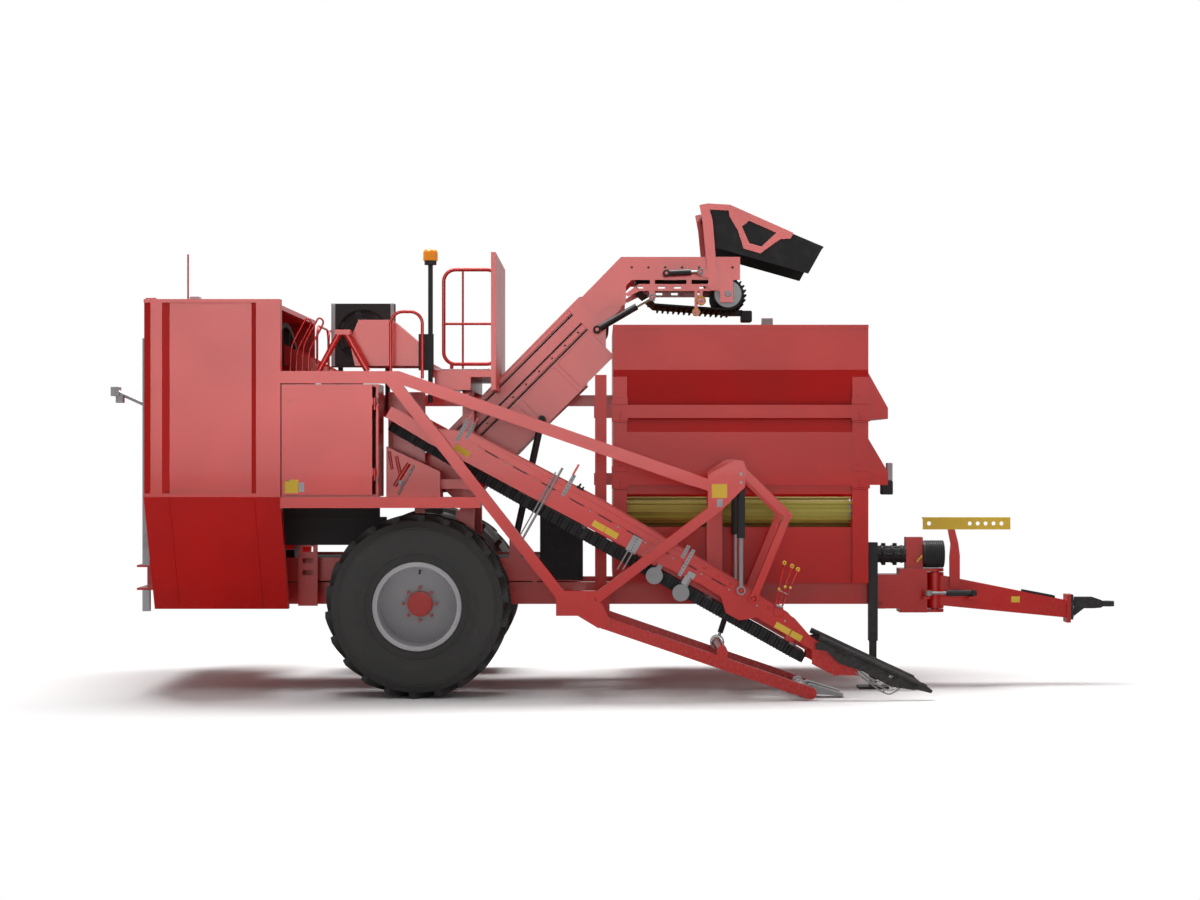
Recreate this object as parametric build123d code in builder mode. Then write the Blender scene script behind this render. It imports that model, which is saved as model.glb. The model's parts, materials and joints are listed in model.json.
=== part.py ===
"""Trailed root crop harvester: a one-row top lifter with a ring elevator and a bunker.

Frame: +X is the way it is towed, +Y its left side, +Z up.  The origin is on the
ground, at the middle of the machine's length and width.  Millimetres.
"""
import os
from math import atan2, ceil, cos, degrees, hypot, pi, radians, sin, sqrt, tan

from build123d import *

os.makedirs("parts", exist_ok=True)

# ---------------------------------------------------------------- driving dimensions
overall_length = 8900.0       # rear lamp to the front of the towing eye
overall_width = 3000.0
half_length = overall_length / 2
half_width = overall_width / 2

face_gap = 0.3                # two painted faces that are bolted together
pin_gap = 0.4                 # radial, pin in its eye
swing_gap = 6.0               # a moving part past a fixed one

# wheels
tyre_radius = 762.0
tyre_width = 650.0
axle_x = -1635.0
lug_count = 22                # on each side of the tread
rim_radius = 357.0            # over the flange
hub_radius = 108.0
stub_radius = 45.0
stud_circle = 137.5           # radius; eight studs
stud_count = 8

# chassis
beam_width = 120.0
beam_height = 190.0
beam_y = 400.0                # centre of each long beam
beam_bottom = 725.0
rear_beam_height = 200.0
chassis_front = 2288.0
tube = 100.0                  # square tube of the outer frame

# outer frame on the right, from the lifter's side
post_x = -2841.0              # rear face of the upright against the tower
top_rail_z = 2709.0
low_rail_z = 1675.0
frame_bend_x = -1766.0        # where the top rail turns down
apex_x = 1043.0
foot_left_x = -478.0
foot_right_x = -133.0
foot_bottom = 700.0

# lifting unit
lift_angle = 29.4
lift_pivot = (-1430.0, 2168.0)
lift_shaft = 30.0
lifter_plate = 12.0
belt_thickness = 14.0
belt_gap = 10.0               # between the two gripping runs
belt_tooth_pitch = 90.0
belt_tooth = 12.0
belt_upper = -430.0           # ends of the belts along the arm, from the pivot
belt_lower = 3530.0

# share
share_pivot = (-84.0, 640.0)
share_height = 100.0
share_thick = 50.0
share_tip_z = 8.0

# rear tower
tower_rear = -3862.0
tower_waist = 1675.0
tower_draw_in = 455.0         # each side of the casing, from its waist to its foot
tower_bottom = 724.0
tower_wall = 40.0
ring_radius = 1200.0
ring_pockets = 18

# deck over the wheels
deck_z = 2672.0               # top of the cross beams
deck_beam = 100.0

# main elevator
boom_pivot = (32.0, 3371.0)
boom_end = 1106.0

# spout
spout_pivot = (870.0, 3500.0)

# bunker
bunker_rear = -5.0
bunker_front = 2196.0
bunker_to_tyre = 165.0        # the bunker's near wall lies inside the tyre's inner side
bunker_top = 3140.0
bunker_wall = 30.0
bunker_floor = 1396.0
floor_roller_z = 1539.0
floor_roller_radius = 118.0

# drawbar
hinge_x = 2860.0
hinge_pin = 35.0
eye_bore = 25.0
eye_outer = 62.0
eye_z = 697.0
pto_z = 1137.0
pto_stub_radius = 17.5

# jack
jack_x = 2245.0
jack_size = 78.0
jack_leg_size = 60.0

tyre_to_frame = 25.0          # tyre's side to the outer frame
tyre_to_post = 45.0

# ------------------------------------------------------------------ worked out sizes
track = 2 * (half_width - tube - tyre_to_frame - tyre_width / 2)
inner_side = track / 2 - tyre_width / 2
tower_foot_half = half_width - tower_draw_in
ring_centre_z = tower_bottom + tower_wall + 26 + ring_radius
tower_top = ring_centre_z + ring_radius + 110
beam_top = beam_bottom + beam_height
beam_outer = beam_y + beam_width / 2
beam_inner = beam_y - beam_width / 2
tower_front = post_x
post_front = post_x + tube
frame_out = -half_width
frame_in = frame_out + tube
deck_bottom = deck_z - deck_beam
frame_mid = (frame_out + frame_in) / 2
far_post_y = (inner_side - tyre_to_post - tube, inner_side - tyre_to_post)
post_y = (-inner_side + 95, -inner_side + 155)
elevator_span = (post_y[1] + 240, far_post_y[0] - 110)
elevator_y = sum(elevator_span) / 2
elevator_half = (elevator_span[1] - elevator_span[0]) / 2
web_plate_y = inner_side - 181
splash_y = -inner_side + 37
bunker_bottom = beam_top
bunker_right = bunker_to_tyre - inner_side
bunker_left = half_width - 50
eye_x = half_length - eye_outer
jack_y = -(beam_outer + jack_size / 2)


# -------------------------------------------------------------------- shared forms
def plate(outline, y_low, y_high):
    """Sheet cut to an outline of (x, z) points, between two stations across the machine."""
    with BuildPart() as sheet:
        with BuildSketch(Plane.XZ.offset(-y_high)):
            with BuildLine():
                Polyline(*outline, close=True)
            make_face()
        extrude(amount=y_high - y_low)
    return sheet.part


def block(x_span, y_span, z_span):
    """Box between a (low, high) pair on each axis."""
    spans = (x_span, y_span, z_span)
    size = [high - low for low, high in spans]
    centre = [(high + low) / 2 for low, high in spans]
    with BuildPart() as solid:
        with Locations(tuple(centre)):
            Box(*size)
    return solid.part


def bar(start, end, radius, bore=0.0):
    """Round bar or tube from one point to another."""
    run = Vector(*end) - Vector(*start)
    with BuildPart() as rod:
        with BuildSketch(Plane(origin=start, z_dir=run)):
            Circle(radius)
            if bore > 0:
                Circle(bore, mode=Mode.SUBTRACT)
        extrude(amount=run.length)
    return rod.part


def across(centre, y_low, y_high, radius, bore=0.0):
    """Round bar or tube across the machine at an (x, z) point."""
    x, z = centre
    return bar((x, y_low, z), (x, y_high, z), radius, bore)


def bent_tube(points, bend, radius):
    """Round tube along straight runs joined by bends."""
    with BuildPart() as pipe:
        with BuildLine() as route:
            FilletPolyline(*points, radius=bend)
        with BuildSketch(Plane(origin=route.line @ 0, z_dir=route.line % 0)):
            Circle(radius)
        sweep(path=route.line)
    return pipe.part


def link(start, end, y_low, y_high, half_width, bores):
    """Flat bar with round ends between two (x, z) eyes; bores are (point, radius)."""
    (x0, z0), (x1, z1) = start, end
    with BuildPart() as arm:
        with BuildSketch(Plane.XZ.offset(-y_high)):
            with Locations(((x0 + x1) / 2, (z0 + z1) / 2)):
                SlotCenterToCenter(hypot(x1 - x0, z1 - z0), 2 * half_width,
                                   rotation=degrees(atan2(z1 - z0, x1 - x0)))
            for point, radius in bores:
                with Locations(point):
                    Circle(radius, mode=Mode.SUBTRACT)
        extrude(amount=y_high - y_low)
    return arm.part


def toward(start, end, distance):
    """Point at a distance from start on the way to end."""
    run = hypot(end[0] - start[0], end[1] - start[1])
    return tuple(a + (b - a) * distance / run for a, b in zip(start, end))


def barrel(pin, rod_end, y, radius, length, eye_radius, bore, rod_bore):
    """Cylinder barrel: eye on its pin, open towards the rod's end."""
    first = toward(pin, rod_end, eye_radius - 6)
    last = toward(pin, rod_end, length)
    with BuildPart() as body:
        add(across(pin, y - radius, y + radius, eye_radius))
        add(bar((first[0], y, first[1]), (last[0], y, last[1]), radius))
        add(across(pin, y - radius, y + radius, bore), mode=Mode.SUBTRACT)
        inner = toward(pin, rod_end, eye_radius + 30)
        past = toward(pin, rod_end, length + 5)
        add(bar((inner[0], y, inner[1]), (past[0], y, past[1]), rod_bore), mode=Mode.SUBTRACT)
    return body.part


def piston(pin, rod_end, y, radius, depth, eye_radius, bore, half):
    """Cylinder rod: from a depth along the barrel to the eye at the rod's end."""
    first = toward(pin, rod_end, depth)
    last = toward(rod_end, pin, eye_radius - 6)
    with BuildPart() as body:
        add(bar((first[0], y, first[1]), (last[0], y, last[1]), radius))
        add(across(rod_end, y - half, y + half, eye_radius))
        add(across(rod_end, y - half, y + half, bore), mode=Mode.SUBTRACT)
    return body.part


def save(solid, name):
    """Label one node and write its file."""
    solid.label = name
    export_step(solid, f"parts/{name}.step")


# ------------------------------------------------------------------------- chassis
beam_rear = tower_front
sides = (-1, 1)
neck_front = hinge_x - 85.0
sleeve_low, sleeve_high = 659.0, 977.0
ear_low = (sleeve_low - 8 - 26, sleeve_low - 8)
ear_high = (sleeve_high + 8, sleeve_high + 8 + 26)
outrigger_x = (-350.0, -250.0)
column_x = (800.0, 935.0)
column_y = (bunker_right - 82, bunker_right - 40)
near_post_x = (-1300.0, -1200.0)
lifter_near = frame_in + 15
near_plate = (lifter_near, lifter_near + lifter_plate)
far_plate = (bunker_right - 155, bunker_right - 155 + lifter_plate)
near_cylinder_y = frame_mid
far_cylinder_y = far_plate[1] + 35
share_near_y = (frame_mid - share_thick / 2, frame_mid + share_thick / 2)
share_far_y = (bunker_right - 65, bunker_right - 65 + share_thick)
share_ear_x = (share_pivot[0] - 50, share_pivot[0] + 50)
steer_y = -230.0
steer_z = 805.0
steer_pin_x = 2766.0

with BuildPart() as main_frame:
    for side in sides:
        low, high = sorted((side * beam_inner, side * beam_outer))
        add(block((beam_rear, chassis_front), (low, high), (beam_bottom, beam_top)))
        low, high = sorted((side * (web_plate_y - 4), side * (web_plate_y + 4)))
        add(block((beam_rear, -300), (low, high), (932, 1132)))
        stub_low, stub_high = inner_side - 35, track / 2 - 65
        add(bar((axle_x, side * stub_low, tyre_radius), (axle_x, side * stub_high, tyre_radius),
                stub_radius))
    add(block((axle_x - 60, axle_x + 60), (-inner_side + 25, inner_side - 25),
              (tyre_radius - 60, tyre_radius + 60)))
    cross_beams = ((-2670, -2570), (300, 400), (chassis_front - 100, chassis_front))
    for x_span in cross_beams:
        add(block(x_span, (-beam_outer, beam_outer), (beam_top - 100, beam_top)))
    for x_span in ((-2600, -2560), (-700, -660)):
        add(block(x_span, (-web_plate_y, web_plate_y), (beam_top, beam_top + 30)))
    add(block((-2670, -2570), (splash_y, -splash_y), (beam_top - 100, beam_top)))
    add(block((-2705, -2539), (splash_y, splash_y + 20), (725, 1273)))
    for z in (1010, 1110, 1210):
        with Locations((-2622, splash_y + 10, z)):
            Box(90, 40, 44, mode=Mode.SUBTRACT)
    add(block(outrigger_x, (frame_in, -beam_outer), (750, 850)))
    add(block(near_post_x, (post_y[0], far_post_y[1]), (beam_top - 100, beam_top)))
    add(block((820, 920), (column_y[0], -beam_outer), (beam_top - 100, beam_top)))
    add(block(column_x, column_y, (beam_top - 100, 1870)))
    # strut tab on the cleaning web's side
    add(block((-900, -800), (-web_plate_y - 4, -web_plate_y + 4), (1120, 1320)))
    # fork that carries the share's inner arm
    fork = ((share_far_y[0] - 25, share_far_y[0] - 2), (share_far_y[1] + 2, share_far_y[1] + 25))
    add(block(share_ear_x, (fork[0][0], -beam_outer), (740, 840)))
    for y_span in fork:
        add(block(share_ear_x, y_span, (share_pivot[1], 760)))
        add(across(share_pivot, y_span[0], y_span[1], 50))
    add(across(share_pivot, fork[0][0], fork[1][1], 20))
    # far bracket of the lift cylinder
    far_ears = (far_cylinder_y - 50, far_cylinder_y + 48)
    for y_span in ((far_ears[1] - 12, far_ears[1]), (far_ears[0], far_ears[0] + 12)):
        add(plate(((800, 1870), (800, 1600), (930, 1600), (1073, 1740), (1088, 1940),
                   (1040, 1979), (960, 1979)), *y_span))
    add(block((817, 917), (frame_in, column_y[1]), (1650, 1750)))
    for point in ((apex_x, 1900), (apex_x, 1790)):
        add(across(point, *far_ears, 20))
    # neck and steering hinge
    add(block((chassis_front - 1, neck_front), (-110, 110), (660, 960)))
    add(block((2531, neck_front), (-110, 110), (ear_low[0], ear_high[1])))
    for z_span in (ear_low, ear_high):
        add(block((neck_front - 20, hinge_x), (-75, 75), z_span))
        add(bar((hinge_x, 0, z_span[0]), (hinge_x, 0, z_span[1]), 75))
    add(bar((hinge_x, 0, ear_low[0]), (hinge_x, 0, ear_high[1]), hinge_pin))
    add(block((steer_pin_x - 45, neck_front), (steer_y - 40, -100),
              (steer_z - 50, steer_z - 30)))
    add(bar((steer_pin_x, steer_y, steer_z - 50), (steer_pin_x, steer_y, steer_z + 34), 13))
    # bearing block of the drive line
    add(block((2593, 2744), (-60, 60), (ear_high[1] - 30, 1288)))
    add(bar((2590, 0, pto_z), (2750, 0, pto_z), 30.3), mode=Mode.SUBTRACT)
    # towing hole plate beside the jack
    add(block((chassis_front, 2400), (-130, -110), (660, 800)))
    add(across((2349, 705), -135, -105, 22), mode=Mode.SUBTRACT)
save(main_frame.part, "main_frame")

# ---------------------------------------------------------------- outer side frame
bend = tan(radians(9.6)) * tube
lean = radians(19.2)

with BuildPart() as side_truss:
    with BuildSketch(Plane.YZ.offset(post_x)):
        with BuildLine():
            Polyline((frame_out, tower_top), (frame_in, tower_top), (frame_in, tower_waist),
                     (-tower_foot_half + tube, tower_bottom), (-tower_foot_half, tower_bottom),
                     (frame_out, tower_waist), close=True)
        make_face()
    extrude(amount=tube)
    reach = 2600.0
    add(plate(((post_front, top_rail_z), (frame_bend_x, top_rail_z),
               (frame_bend_x + reach * cos(lean), top_rail_z - reach * sin(lean)),
               (frame_bend_x + reach * cos(lean) - tube * sin(lean),
                top_rail_z - reach * sin(lean) - tube * cos(lean)),
               (frame_bend_x - bend, top_rail_z - tube), (post_front, top_rail_z - tube)),
              frame_out, frame_in))
    add(block((post_front, -1100), (frame_out, frame_in), (low_rail_z - 90, low_rail_z)))
    add(plate(((-1897, 2640), (-1774, 2640), (-412, 904), (-478, 847)), frame_out, frame_in))
    add(plate(((foot_left_x, foot_bottom), (-215, foot_bottom), (foot_right_x, 904),
               (-412, 904), (foot_left_x, 847)), frame_out, frame_in))
    add(plate(((foot_right_x - 20, 890), (769, 1585), (884, 1569), (-150, 788)),
              frame_out, frame_in))
    apex_outline = ((769, 1856), (769, 1585), (884, 1569), (1073, 1757), (1088, 1897),
                    (1060, 1971), (991, 1979))
    for y_span in ((frame_out, frame_out + 12), (frame_in - 12, frame_in)):
        add(plate(apex_outline, *y_span))
    add(plate(((769, 1856), (769, 1585), (884, 1569), (940, 1640), (940, 1940)),
              frame_out, frame_in))
    for point in ((apex_x, 1900), (apex_x, 1790)):
        add(across(point, frame_out, frame_in, 20))
    # fork that carries the share's outer arm
    for y_span in ((frame_out, frame_out + 23), (frame_in - 23, frame_in)):
        add(plate(((-300, foot_bottom), (-134, 600), (-60, 600), (-34, 660), (-100, 800),
                   (-200, 840)), *y_span))
        add(across(share_pivot, y_span[0], y_span[1], 50))
    add(across(share_pivot, frame_out, frame_in, 20))
    # cross tube under the lifting unit's upper end and its pivot stub
    add(block((-1250, -1170), (frame_in, post_y[1]), (1735, 1815)))
    add(across(lift_pivot, frame_in - 10, near_plate[0] + 45, lift_shaft))
    # bracket of the leaf chute
    add(bar((-2430, frame_mid, top_rail_z), (-2263, frame_mid, 3018), 25))
    add(bar((-2030, frame_mid, top_rail_z), (-2205, frame_mid, 3018), 25))
    add(block((-2296, -2172), (frame_mid - 25, frame_in + 110 - face_gap), (3010, 3051)))
save(side_truss.part, "side_truss")

# --------------------------------------------------------------------- upper frame
deck_y = (frame_in + 250, far_post_y[1] + 20)

with BuildPart() as upper_frame:
    add(block(near_post_x, post_y, (beam_top, 1735)))
    add(block(near_post_x, post_y, (1815, deck_bottom - 9)))
    add(block((near_post_x[0], -1250), post_y, (1735, 1815)))
    add(block(near_post_x, far_post_y, (beam_top, deck_bottom - 9)))
    add(block((-1356, -1256), (post_y[0], far_post_y[1]), (1440, 1540)))
    add(block((-1480, -1300), (post_y[0], post_y[0] + 30), (2118, 2218)))
    add(across(lift_pivot, far_plate[1] - 42, post_y[0] + 10, lift_shaft))
    add(block(near_post_x, (frame_in, post_y[0]), (2436, 2526)))
    for x_span in ((-1500, -1400), near_post_x):
        add(block(x_span, deck_y, (deck_bottom - 9, deck_z)))
    add(block((-1400, -1300), (deck_y[0], deck_y[0] + 80), (deck_bottom - 9, deck_z)))
    add(block((tower_front, near_post_x[0]), far_post_y, (deck_bottom - 109, deck_bottom - 9)))
    add(block((near_post_x[1], bunker_rear), far_post_y, (deck_bottom - 109, deck_bottom - 9)))
save(upper_frame.part, "upper_frame")

# ---------------------------------------------------------------------- rear tower
def tower_section(inset):
    """Half-hexagon casing outline in (y, z), drawn in by a wall."""
    low = tower_bottom + inset
    narrow = tower_foot_half - inset
    return ((-narrow, low), (-half_width + inset, tower_waist),
            (-half_width + inset, tower_top - inset), (half_width - inset, tower_top - inset),
            (half_width - inset, tower_waist), (narrow, low))


with BuildPart() as ring_tower:
    with BuildSketch(Plane.YZ.offset(tower_rear)):
        with BuildLine():
            Polyline(*tower_section(0.0), close=True)
        make_face()
    extrude(amount=tower_front - tower_rear)
    with BuildSketch(Plane.YZ.offset(tower_rear + tower_wall)):
        with BuildLine():
            Polyline(*tower_section(tower_wall), close=True)
        make_face()
    extrude(amount=tower_front - tower_rear, mode=Mode.SUBTRACT)
    # pressed panel and chamfered rear corner of each side: (x, depth from the side)
    panel = ((-3711, -2), (-3711, 0), (-3653, 26), (-2980, 26), (-2939, 0), (-2939, -2))
    corner = ((tower_rear - 2, -2), (tower_rear - 2, 24), (-3805, 0), (-3805, -2))
    for side in sides:
        for fold in (panel, corner):
            with BuildSketch(Plane.XY.offset(tower_waist + 30)):
                with BuildLine():
                    Polyline(*[(x, side * (half_width - depth)) for x, depth in fold],
                             close=True)
                make_face()
            extrude(amount=tower_top - tower_waist - 60, mode=Mode.SUBTRACT)
save(ring_tower.part, "ring_tower")

with BuildPart() as ring_elevator:
    for x in (-3780, -3360, -2940):
        add(bar((x, 0, ring_centre_z), (x + 40, 0, ring_centre_z), ring_radius,
                ring_radius - 40))
    with BuildSketch(Plane.YZ.offset(-3780)):
        with Locations((0, ring_centre_z)):
            with PolarLocations(ring_radius - 120, ring_pockets):
                Rectangle(230, 10)
    extrude(amount=880)
    for y in (-1, 1):
        centre = (y * (ring_radius + 58) * cos(radians(50)),
                  ring_centre_z - (ring_radius + 58) * sin(radians(50)))
        add(bar((tower_rear + tower_wall, *centre), (-2900, *centre), 60))
save(ring_elevator.part, "ring_elevator")

bumper_half = tower_foot_half + 15
lamp_x = -half_length

with BuildPart() as rear_bumper:
    add(block((-4010, tower_rear), (-bumper_half, bumper_half), (884, 1094)))
    add(block((-4011, tower_rear - 18), (-bumper_half - 1, bumper_half + 1), (902, 1076)),
        mode=Mode.SUBTRACT)
    for y in (-700, 0, 700):
        add(block((-3995, tower_rear - 18), (y - 6, y + 6), (895, 1080)))
    add(block((-3935, -3850), (-tower_foot_half - 20, -tower_foot_half + 20), (tower_top, 3340)))
    add(bar((-3777, 0, tower_top), (-3777, 0, 3800), 8))
save(rear_bumper.part, "rear_bumper")

with BuildPart() as rear_posts:
    for side in sides:
        low, high = sorted((side * (tower_foot_half - 30), side * (tower_foot_half + 30)))
        add(block((-3960, -3900), (low, high), (707, 884)))
        add(block((-3960, -3900), (low, high), (1094, 3000)))
        for z in (1500, 2700):
            add(block((-3900, tower_rear), (low, high), (z, z + 60)))
    add(bar((tower_rear - 9, 0, 2334), (lamp_x + 50, 0, 2576), 20))
    add(block((lamp_x, lamp_x + 65), (-70, 70), (2540, 2620)))
    add(block((lamp_x + 40, lamp_x + 100), (-50, 50), (2480, 2545)))
    add(block((-3752, -3669), (-60, 60), (tower_top, 3420)))
save(rear_posts.part, "rear_posts")

# --------------------------------------------------------------- cabinet and panels
cabinet_x = (post_front, -1940.0)
cabinet_y = (frame_out + 45, -1000.0)
cabinet_z = (low_rail_z, 2603.0)
cabinet_wall = 20.0
door_hinge = (-1968.0, frame_out + 13)

with BuildPart() as cabinet:
    add(block(cabinet_x, cabinet_y, cabinet_z))
    add(block((cabinet_x[0] + cabinet_wall, cabinet_x[1] - cabinet_wall),
              (cabinet_y[0] - 5, cabinet_y[1] - cabinet_wall),
              (cabinet_z[0] + cabinet_wall, cabinet_z[1] - cabinet_wall)), mode=Mode.SUBTRACT)
    for z in (1850, 2430):
        add(bar((*door_hinge, z - 40), (*door_hinge, z - 8), 12))
        add(bar((*door_hinge, z - 40), (*door_hinge, z + 60), 7))
        add(block((door_hinge[0] - 4, door_hinge[0] + 22), (door_hinge[1], cabinet_y[0] + 5),
                  (z - 40, z - 8)))
save(cabinet.part, "cabinet")

with BuildPart() as cabinet_door:
    add(block((-2728, door_hinge[0] - 20), (frame_out + 9, cabinet_y[0] - swing_gap), (1691, 2595)))
    for z in (1850, 2430):
        add(bar((*door_hinge, z), (*door_hinge, z + 60), 13))
        add(block((door_hinge[0] - 22, door_hinge[0]), (frame_out + 10, frame_out + 22),
                  (z, z + 60)))
        add(bar((*door_hinge, z - 1), (*door_hinge, z + 61), 7 + pin_gap), mode=Mode.SUBTRACT)
    for z in (1831, 2471):
        add(bar((-2686, frame_out, z), (-2686, frame_out + 10, z), 24))
save(cabinet_door.part, "cabinet_door")

with BuildPart() as splash_panel:
    add(block((tower_front, -2002), (splash_y - 12, splash_y), (1247, 1570)))
    add(block((tower_front, -1942), (splash_y - 24, splash_y - 12), (1431, 1489)))
save(splash_panel.part, "splash_panel")

with BuildPart() as cleaning_web:
    web_half = web_plate_y - 19
    with BuildSketch(Plane.XZ.offset(-web_half)):
        with Locations((-1560, 1032)):
            SlotCenterToCenter(2320, 150)
            SlotCenterToCenter(2320, 122, mode=Mode.SUBTRACT)
    extrude(amount=2 * web_half)
    for x in (-2720, -2000, -1300, -600, -400):
        add(across((x, 1032), -web_plate_y + 4, web_plate_y - 4, 61.2))
save(cleaning_web.part, "cleaning_web")

with BuildPart() as rubber_flap:
    add(block((-635, -264), (-web_plate_y - 16, -web_plate_y - 4), (939, 1500)))
save(rubber_flap.part, "rubber_flap")

with BuildPart() as topping_unit:
    add(plate(((-1900, 1620), (-1450, 1620), (-1450, 1880), (-1900, 2090)), -1200, -840))
    add(block((-1460, -1250), (-1060, -980), (1735, 1815)))
save(topping_unit.part, "topping_unit")

with BuildPart() as topper_hood:
    hood_outline = ((-2197, 2960), (-2122, 3142), (-1847, 3142), (-1573, 2909), (-1548, 2851),
                    (-1614, 2760), (-2150, 2760))
    add(plate(hood_outline, frame_in + 110, -700))
    inner = ((-2170, 2960), (-2110, 3127), (-1853, 3127), (-1587, 2901), (-1566, 2851),
             (-1610, 2750), (-2150, 2750))
    add(plate(inner, frame_in + 122, -712), mode=Mode.SUBTRACT)
save(topper_hood.part, "topper_hood")

# -------------------------------------------------------- feeder, cooler, platform
feeder_low = elevator_y - elevator_half
feeder_high = elevator_y + elevator_half

with BuildPart() as feeder:
    outline = ((-2880, 2988), (-2519, 2795), (-1500, 2252), (-1565, 2125), (-2519, 2620),
               (-2880, 2812))
    for y_span in ((feeder_low, feeder_low + 8), (feeder_high - 8, feeder_high)):
        add(plate(outline, *y_span))
    add(plate(((-2880, 2860), (-2519, 2668), (-1590, 2173), (-1583, 2186), (-2519, 2682),
               (-2880, 2874)), feeder_low, feeder_high))
    add(block((-2325, -2275), (feeder_low, far_post_y[0]), (2510, 2560)))
    for x, top in ((-2588, 3149), (-2488, 3107)):
        foot = 2795 - (x + 2519) * 0.533 - 20
        add(bent_tube(((x, feeder_low + 4, foot), (x, feeder_low + 4, top),
                       (x, feeder_high - 4, top), (x, feeder_high - 4, foot)), 120, 10))
save(feeder.part, "feeder")

with BuildPart() as oil_cooler:
    add(block((-2446, -1898), (feeder_low - 150, feeder_low - 30), (2780, 3330)))
    add(across((-2172, 3055), feeder_low - 160, feeder_low - 110, 225), mode=Mode.SUBTRACT)
    add(across((-2172, 3055), feeder_low - 145, feeder_low - 110, 60))
    with BuildSketch(Plane.XZ.offset(140 - feeder_low)):
        with Locations((-2172, 3055)):
            with PolarLocations(130, 7):
                Rectangle(180, 60)
    extrude(amount=-14)
    add(block((-2400, -2360), (feeder_low - 40, feeder_low), (2600, 2800)))
    add(block((-1990, -1950), (feeder_low - 40, feeder_low), (2400, 2800)))
save(oil_cooler.part, "oil_cooler")

with BuildPart() as platform_deck:
    add(block((-1514, -1029), deck_y, (deck_z, 2730)))
    add(block((-1029, -989), deck_y, (2563, 3717)))
    for z in (2900, 3150, 3400):
        add(block((-1030, -1014), (deck_y[0] + 60, deck_y[1] - 60), (z, z + 190)),
            mode=Mode.SUBTRACT)
    add(block((-1030, -988), (feeder_low - 15, feeder_high + 15), (2560, 2722)),
        mode=Mode.SUBTRACT)
save(platform_deck.part, "platform_deck")

with BuildPart() as hand_rails:
    rail = 17.0
    rail_y = far_post_y[1] + 3
    add(bent_tube(((-1295, rail_y, 3719), (-1050, rail_y, 3719), (-1050, rail_y, 2851),
                   (-1554, rail_y, 2851), (-1554, rail_y, 3719), (-1294, rail_y, 3719)), 110, rail))
    add(bar((-1554, rail_y, 3221), (-1050, rail_y, 3221), 12))
    add(bar((-1378, rail_y, 2730), (-1378, rail_y, 3719), 10))
    for x in (-1480, -1080):
        add(bar((x, rail_y, 2730), (x, rail_y, 2851), rail))
    add(bent_tube(((-1839, frame_mid, top_rail_z), (-1839, frame_mid, 3199), (-1579, frame_mid, 3199),
                   (-1579, frame_mid, 2648.8)), 100, 13.5))
save(hand_rails.part, "hand_rails")

with BuildPart() as beacon_mast:
    add(bar((-1517, frame_in + 20, 2449), (-1517, frame_in + 20, 3600), 20))
    add(block((-1614, -1489), (frame_in, frame_in + 8), (2718, 3018)))
    add(bar((-1517, frame_in + 20, 3590), (-1517, frame_in + 20, 3624), 50))
save(beacon_mast.part, "beacon_mast")

with BuildPart() as beacon_lens:
    with Locations((-1517, frame_in + 20, 3624)):
        Cylinder(60, 97, align=(Align.CENTER, Align.CENTER, Align.MIN))
    fillet(beacon_lens.edges().sort_by(Axis.Z)[-1], 34)
save(beacon_lens.part, "beacon_lens")

# -------------------------------------------------------------------- main elevator
trough_outline = ((-353, 3345), (-1427, 2253), (-1720, 1955), (-1340, 1582), (-1340, 1540),
                  (-1266, 1540), (-1266, 1590), (-729, 2148), (-222, 2638), (-309, 2699),
                  (-65, 2917), (-65, 3160), (60, 3290), (92, 3371), (40, 3430), (-300, 3398))
boom_cyl_pin = (-143.0, 3109.0)
boom_cyl_eye = (337.0, 3389.0)
boom_cyl_y = elevator_span[0] - 77

with BuildPart() as elevator_trough:
    for y_span in ((elevator_span[0], elevator_span[0] + 8),
                   (elevator_span[1] - 8, elevator_span[1])):
        add(plate(trough_outline, *y_span))
    add(plate(((-1300, 1564), (-240, 2650), (-245, 2656), (-1306, 1572)), *elevator_span))
    for point in ((-1640, 1965), (-900, 2330), (-420, 2800)):
        add(across(point, *elevator_span, 22))
    for y_span in ((elevator_span[0] - 22, elevator_span[0]),
                   (elevator_span[1], elevator_span[1] + 22)):
        add(across(boom_pivot, *y_span, 20))
    add(across(boom_cyl_pin, boom_cyl_y - 34, elevator_span[0], 15))
save(elevator_trough.part, "elevator_trough")

with BuildPart() as elevator_web:
    foot, head = (-1480.0, 1790.0), (-140.0, 3130.0)
    angle = degrees(atan2(head[1] - foot[1], head[0] - foot[0]))
    with BuildSketch(Plane.XZ.offset(-(elevator_span[1] - 18))):
        with Locations(((foot[0] + head[0]) / 2, (foot[1] + head[1]) / 2)):
            run = hypot(head[0] - foot[0], head[1] - foot[1])
            SlotCenterToCenter(run, 200, rotation=angle)
            SlotCenterToCenter(run, 172, rotation=angle, mode=Mode.SUBTRACT)
    extrude(amount=2 * elevator_half - 36)
    for point in (foot, head):
        add(across(point, elevator_span[0] + 8, elevator_span[1] - 8, 30))
        add(across(point, elevator_span[0] + 60, elevator_span[1] - 60, 86.5))
save(elevator_web.part, "elevator_web")

strut_bar_y = -web_plate_y + 34

with BuildPart() as elevator_strut:
    add(bar((-851, strut_bar_y, 1275), (-620, strut_bar_y, 2330), 30))
    add(across((-620, 2330), strut_bar_y - 30, elevator_span[0], 30))
save(elevator_strut.part, "elevator_strut")

# ----------------------------------------------------------------------------- boom
boom_span = (elevator_span[0] - 15, elevator_span[1] + 15)
boom_outline = ((-274, 3398), (66, 3747), (boom_end, 3747), (boom_end, 3546), (160, 3546),
                (110, 3496), (110, 3340), (40, 3300), (-20, 3330), (-150, 3235))
spout_cyl_pin = (460.0, 3599.0)
spout_cyl_eye = (757.0, 3612.0)

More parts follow.
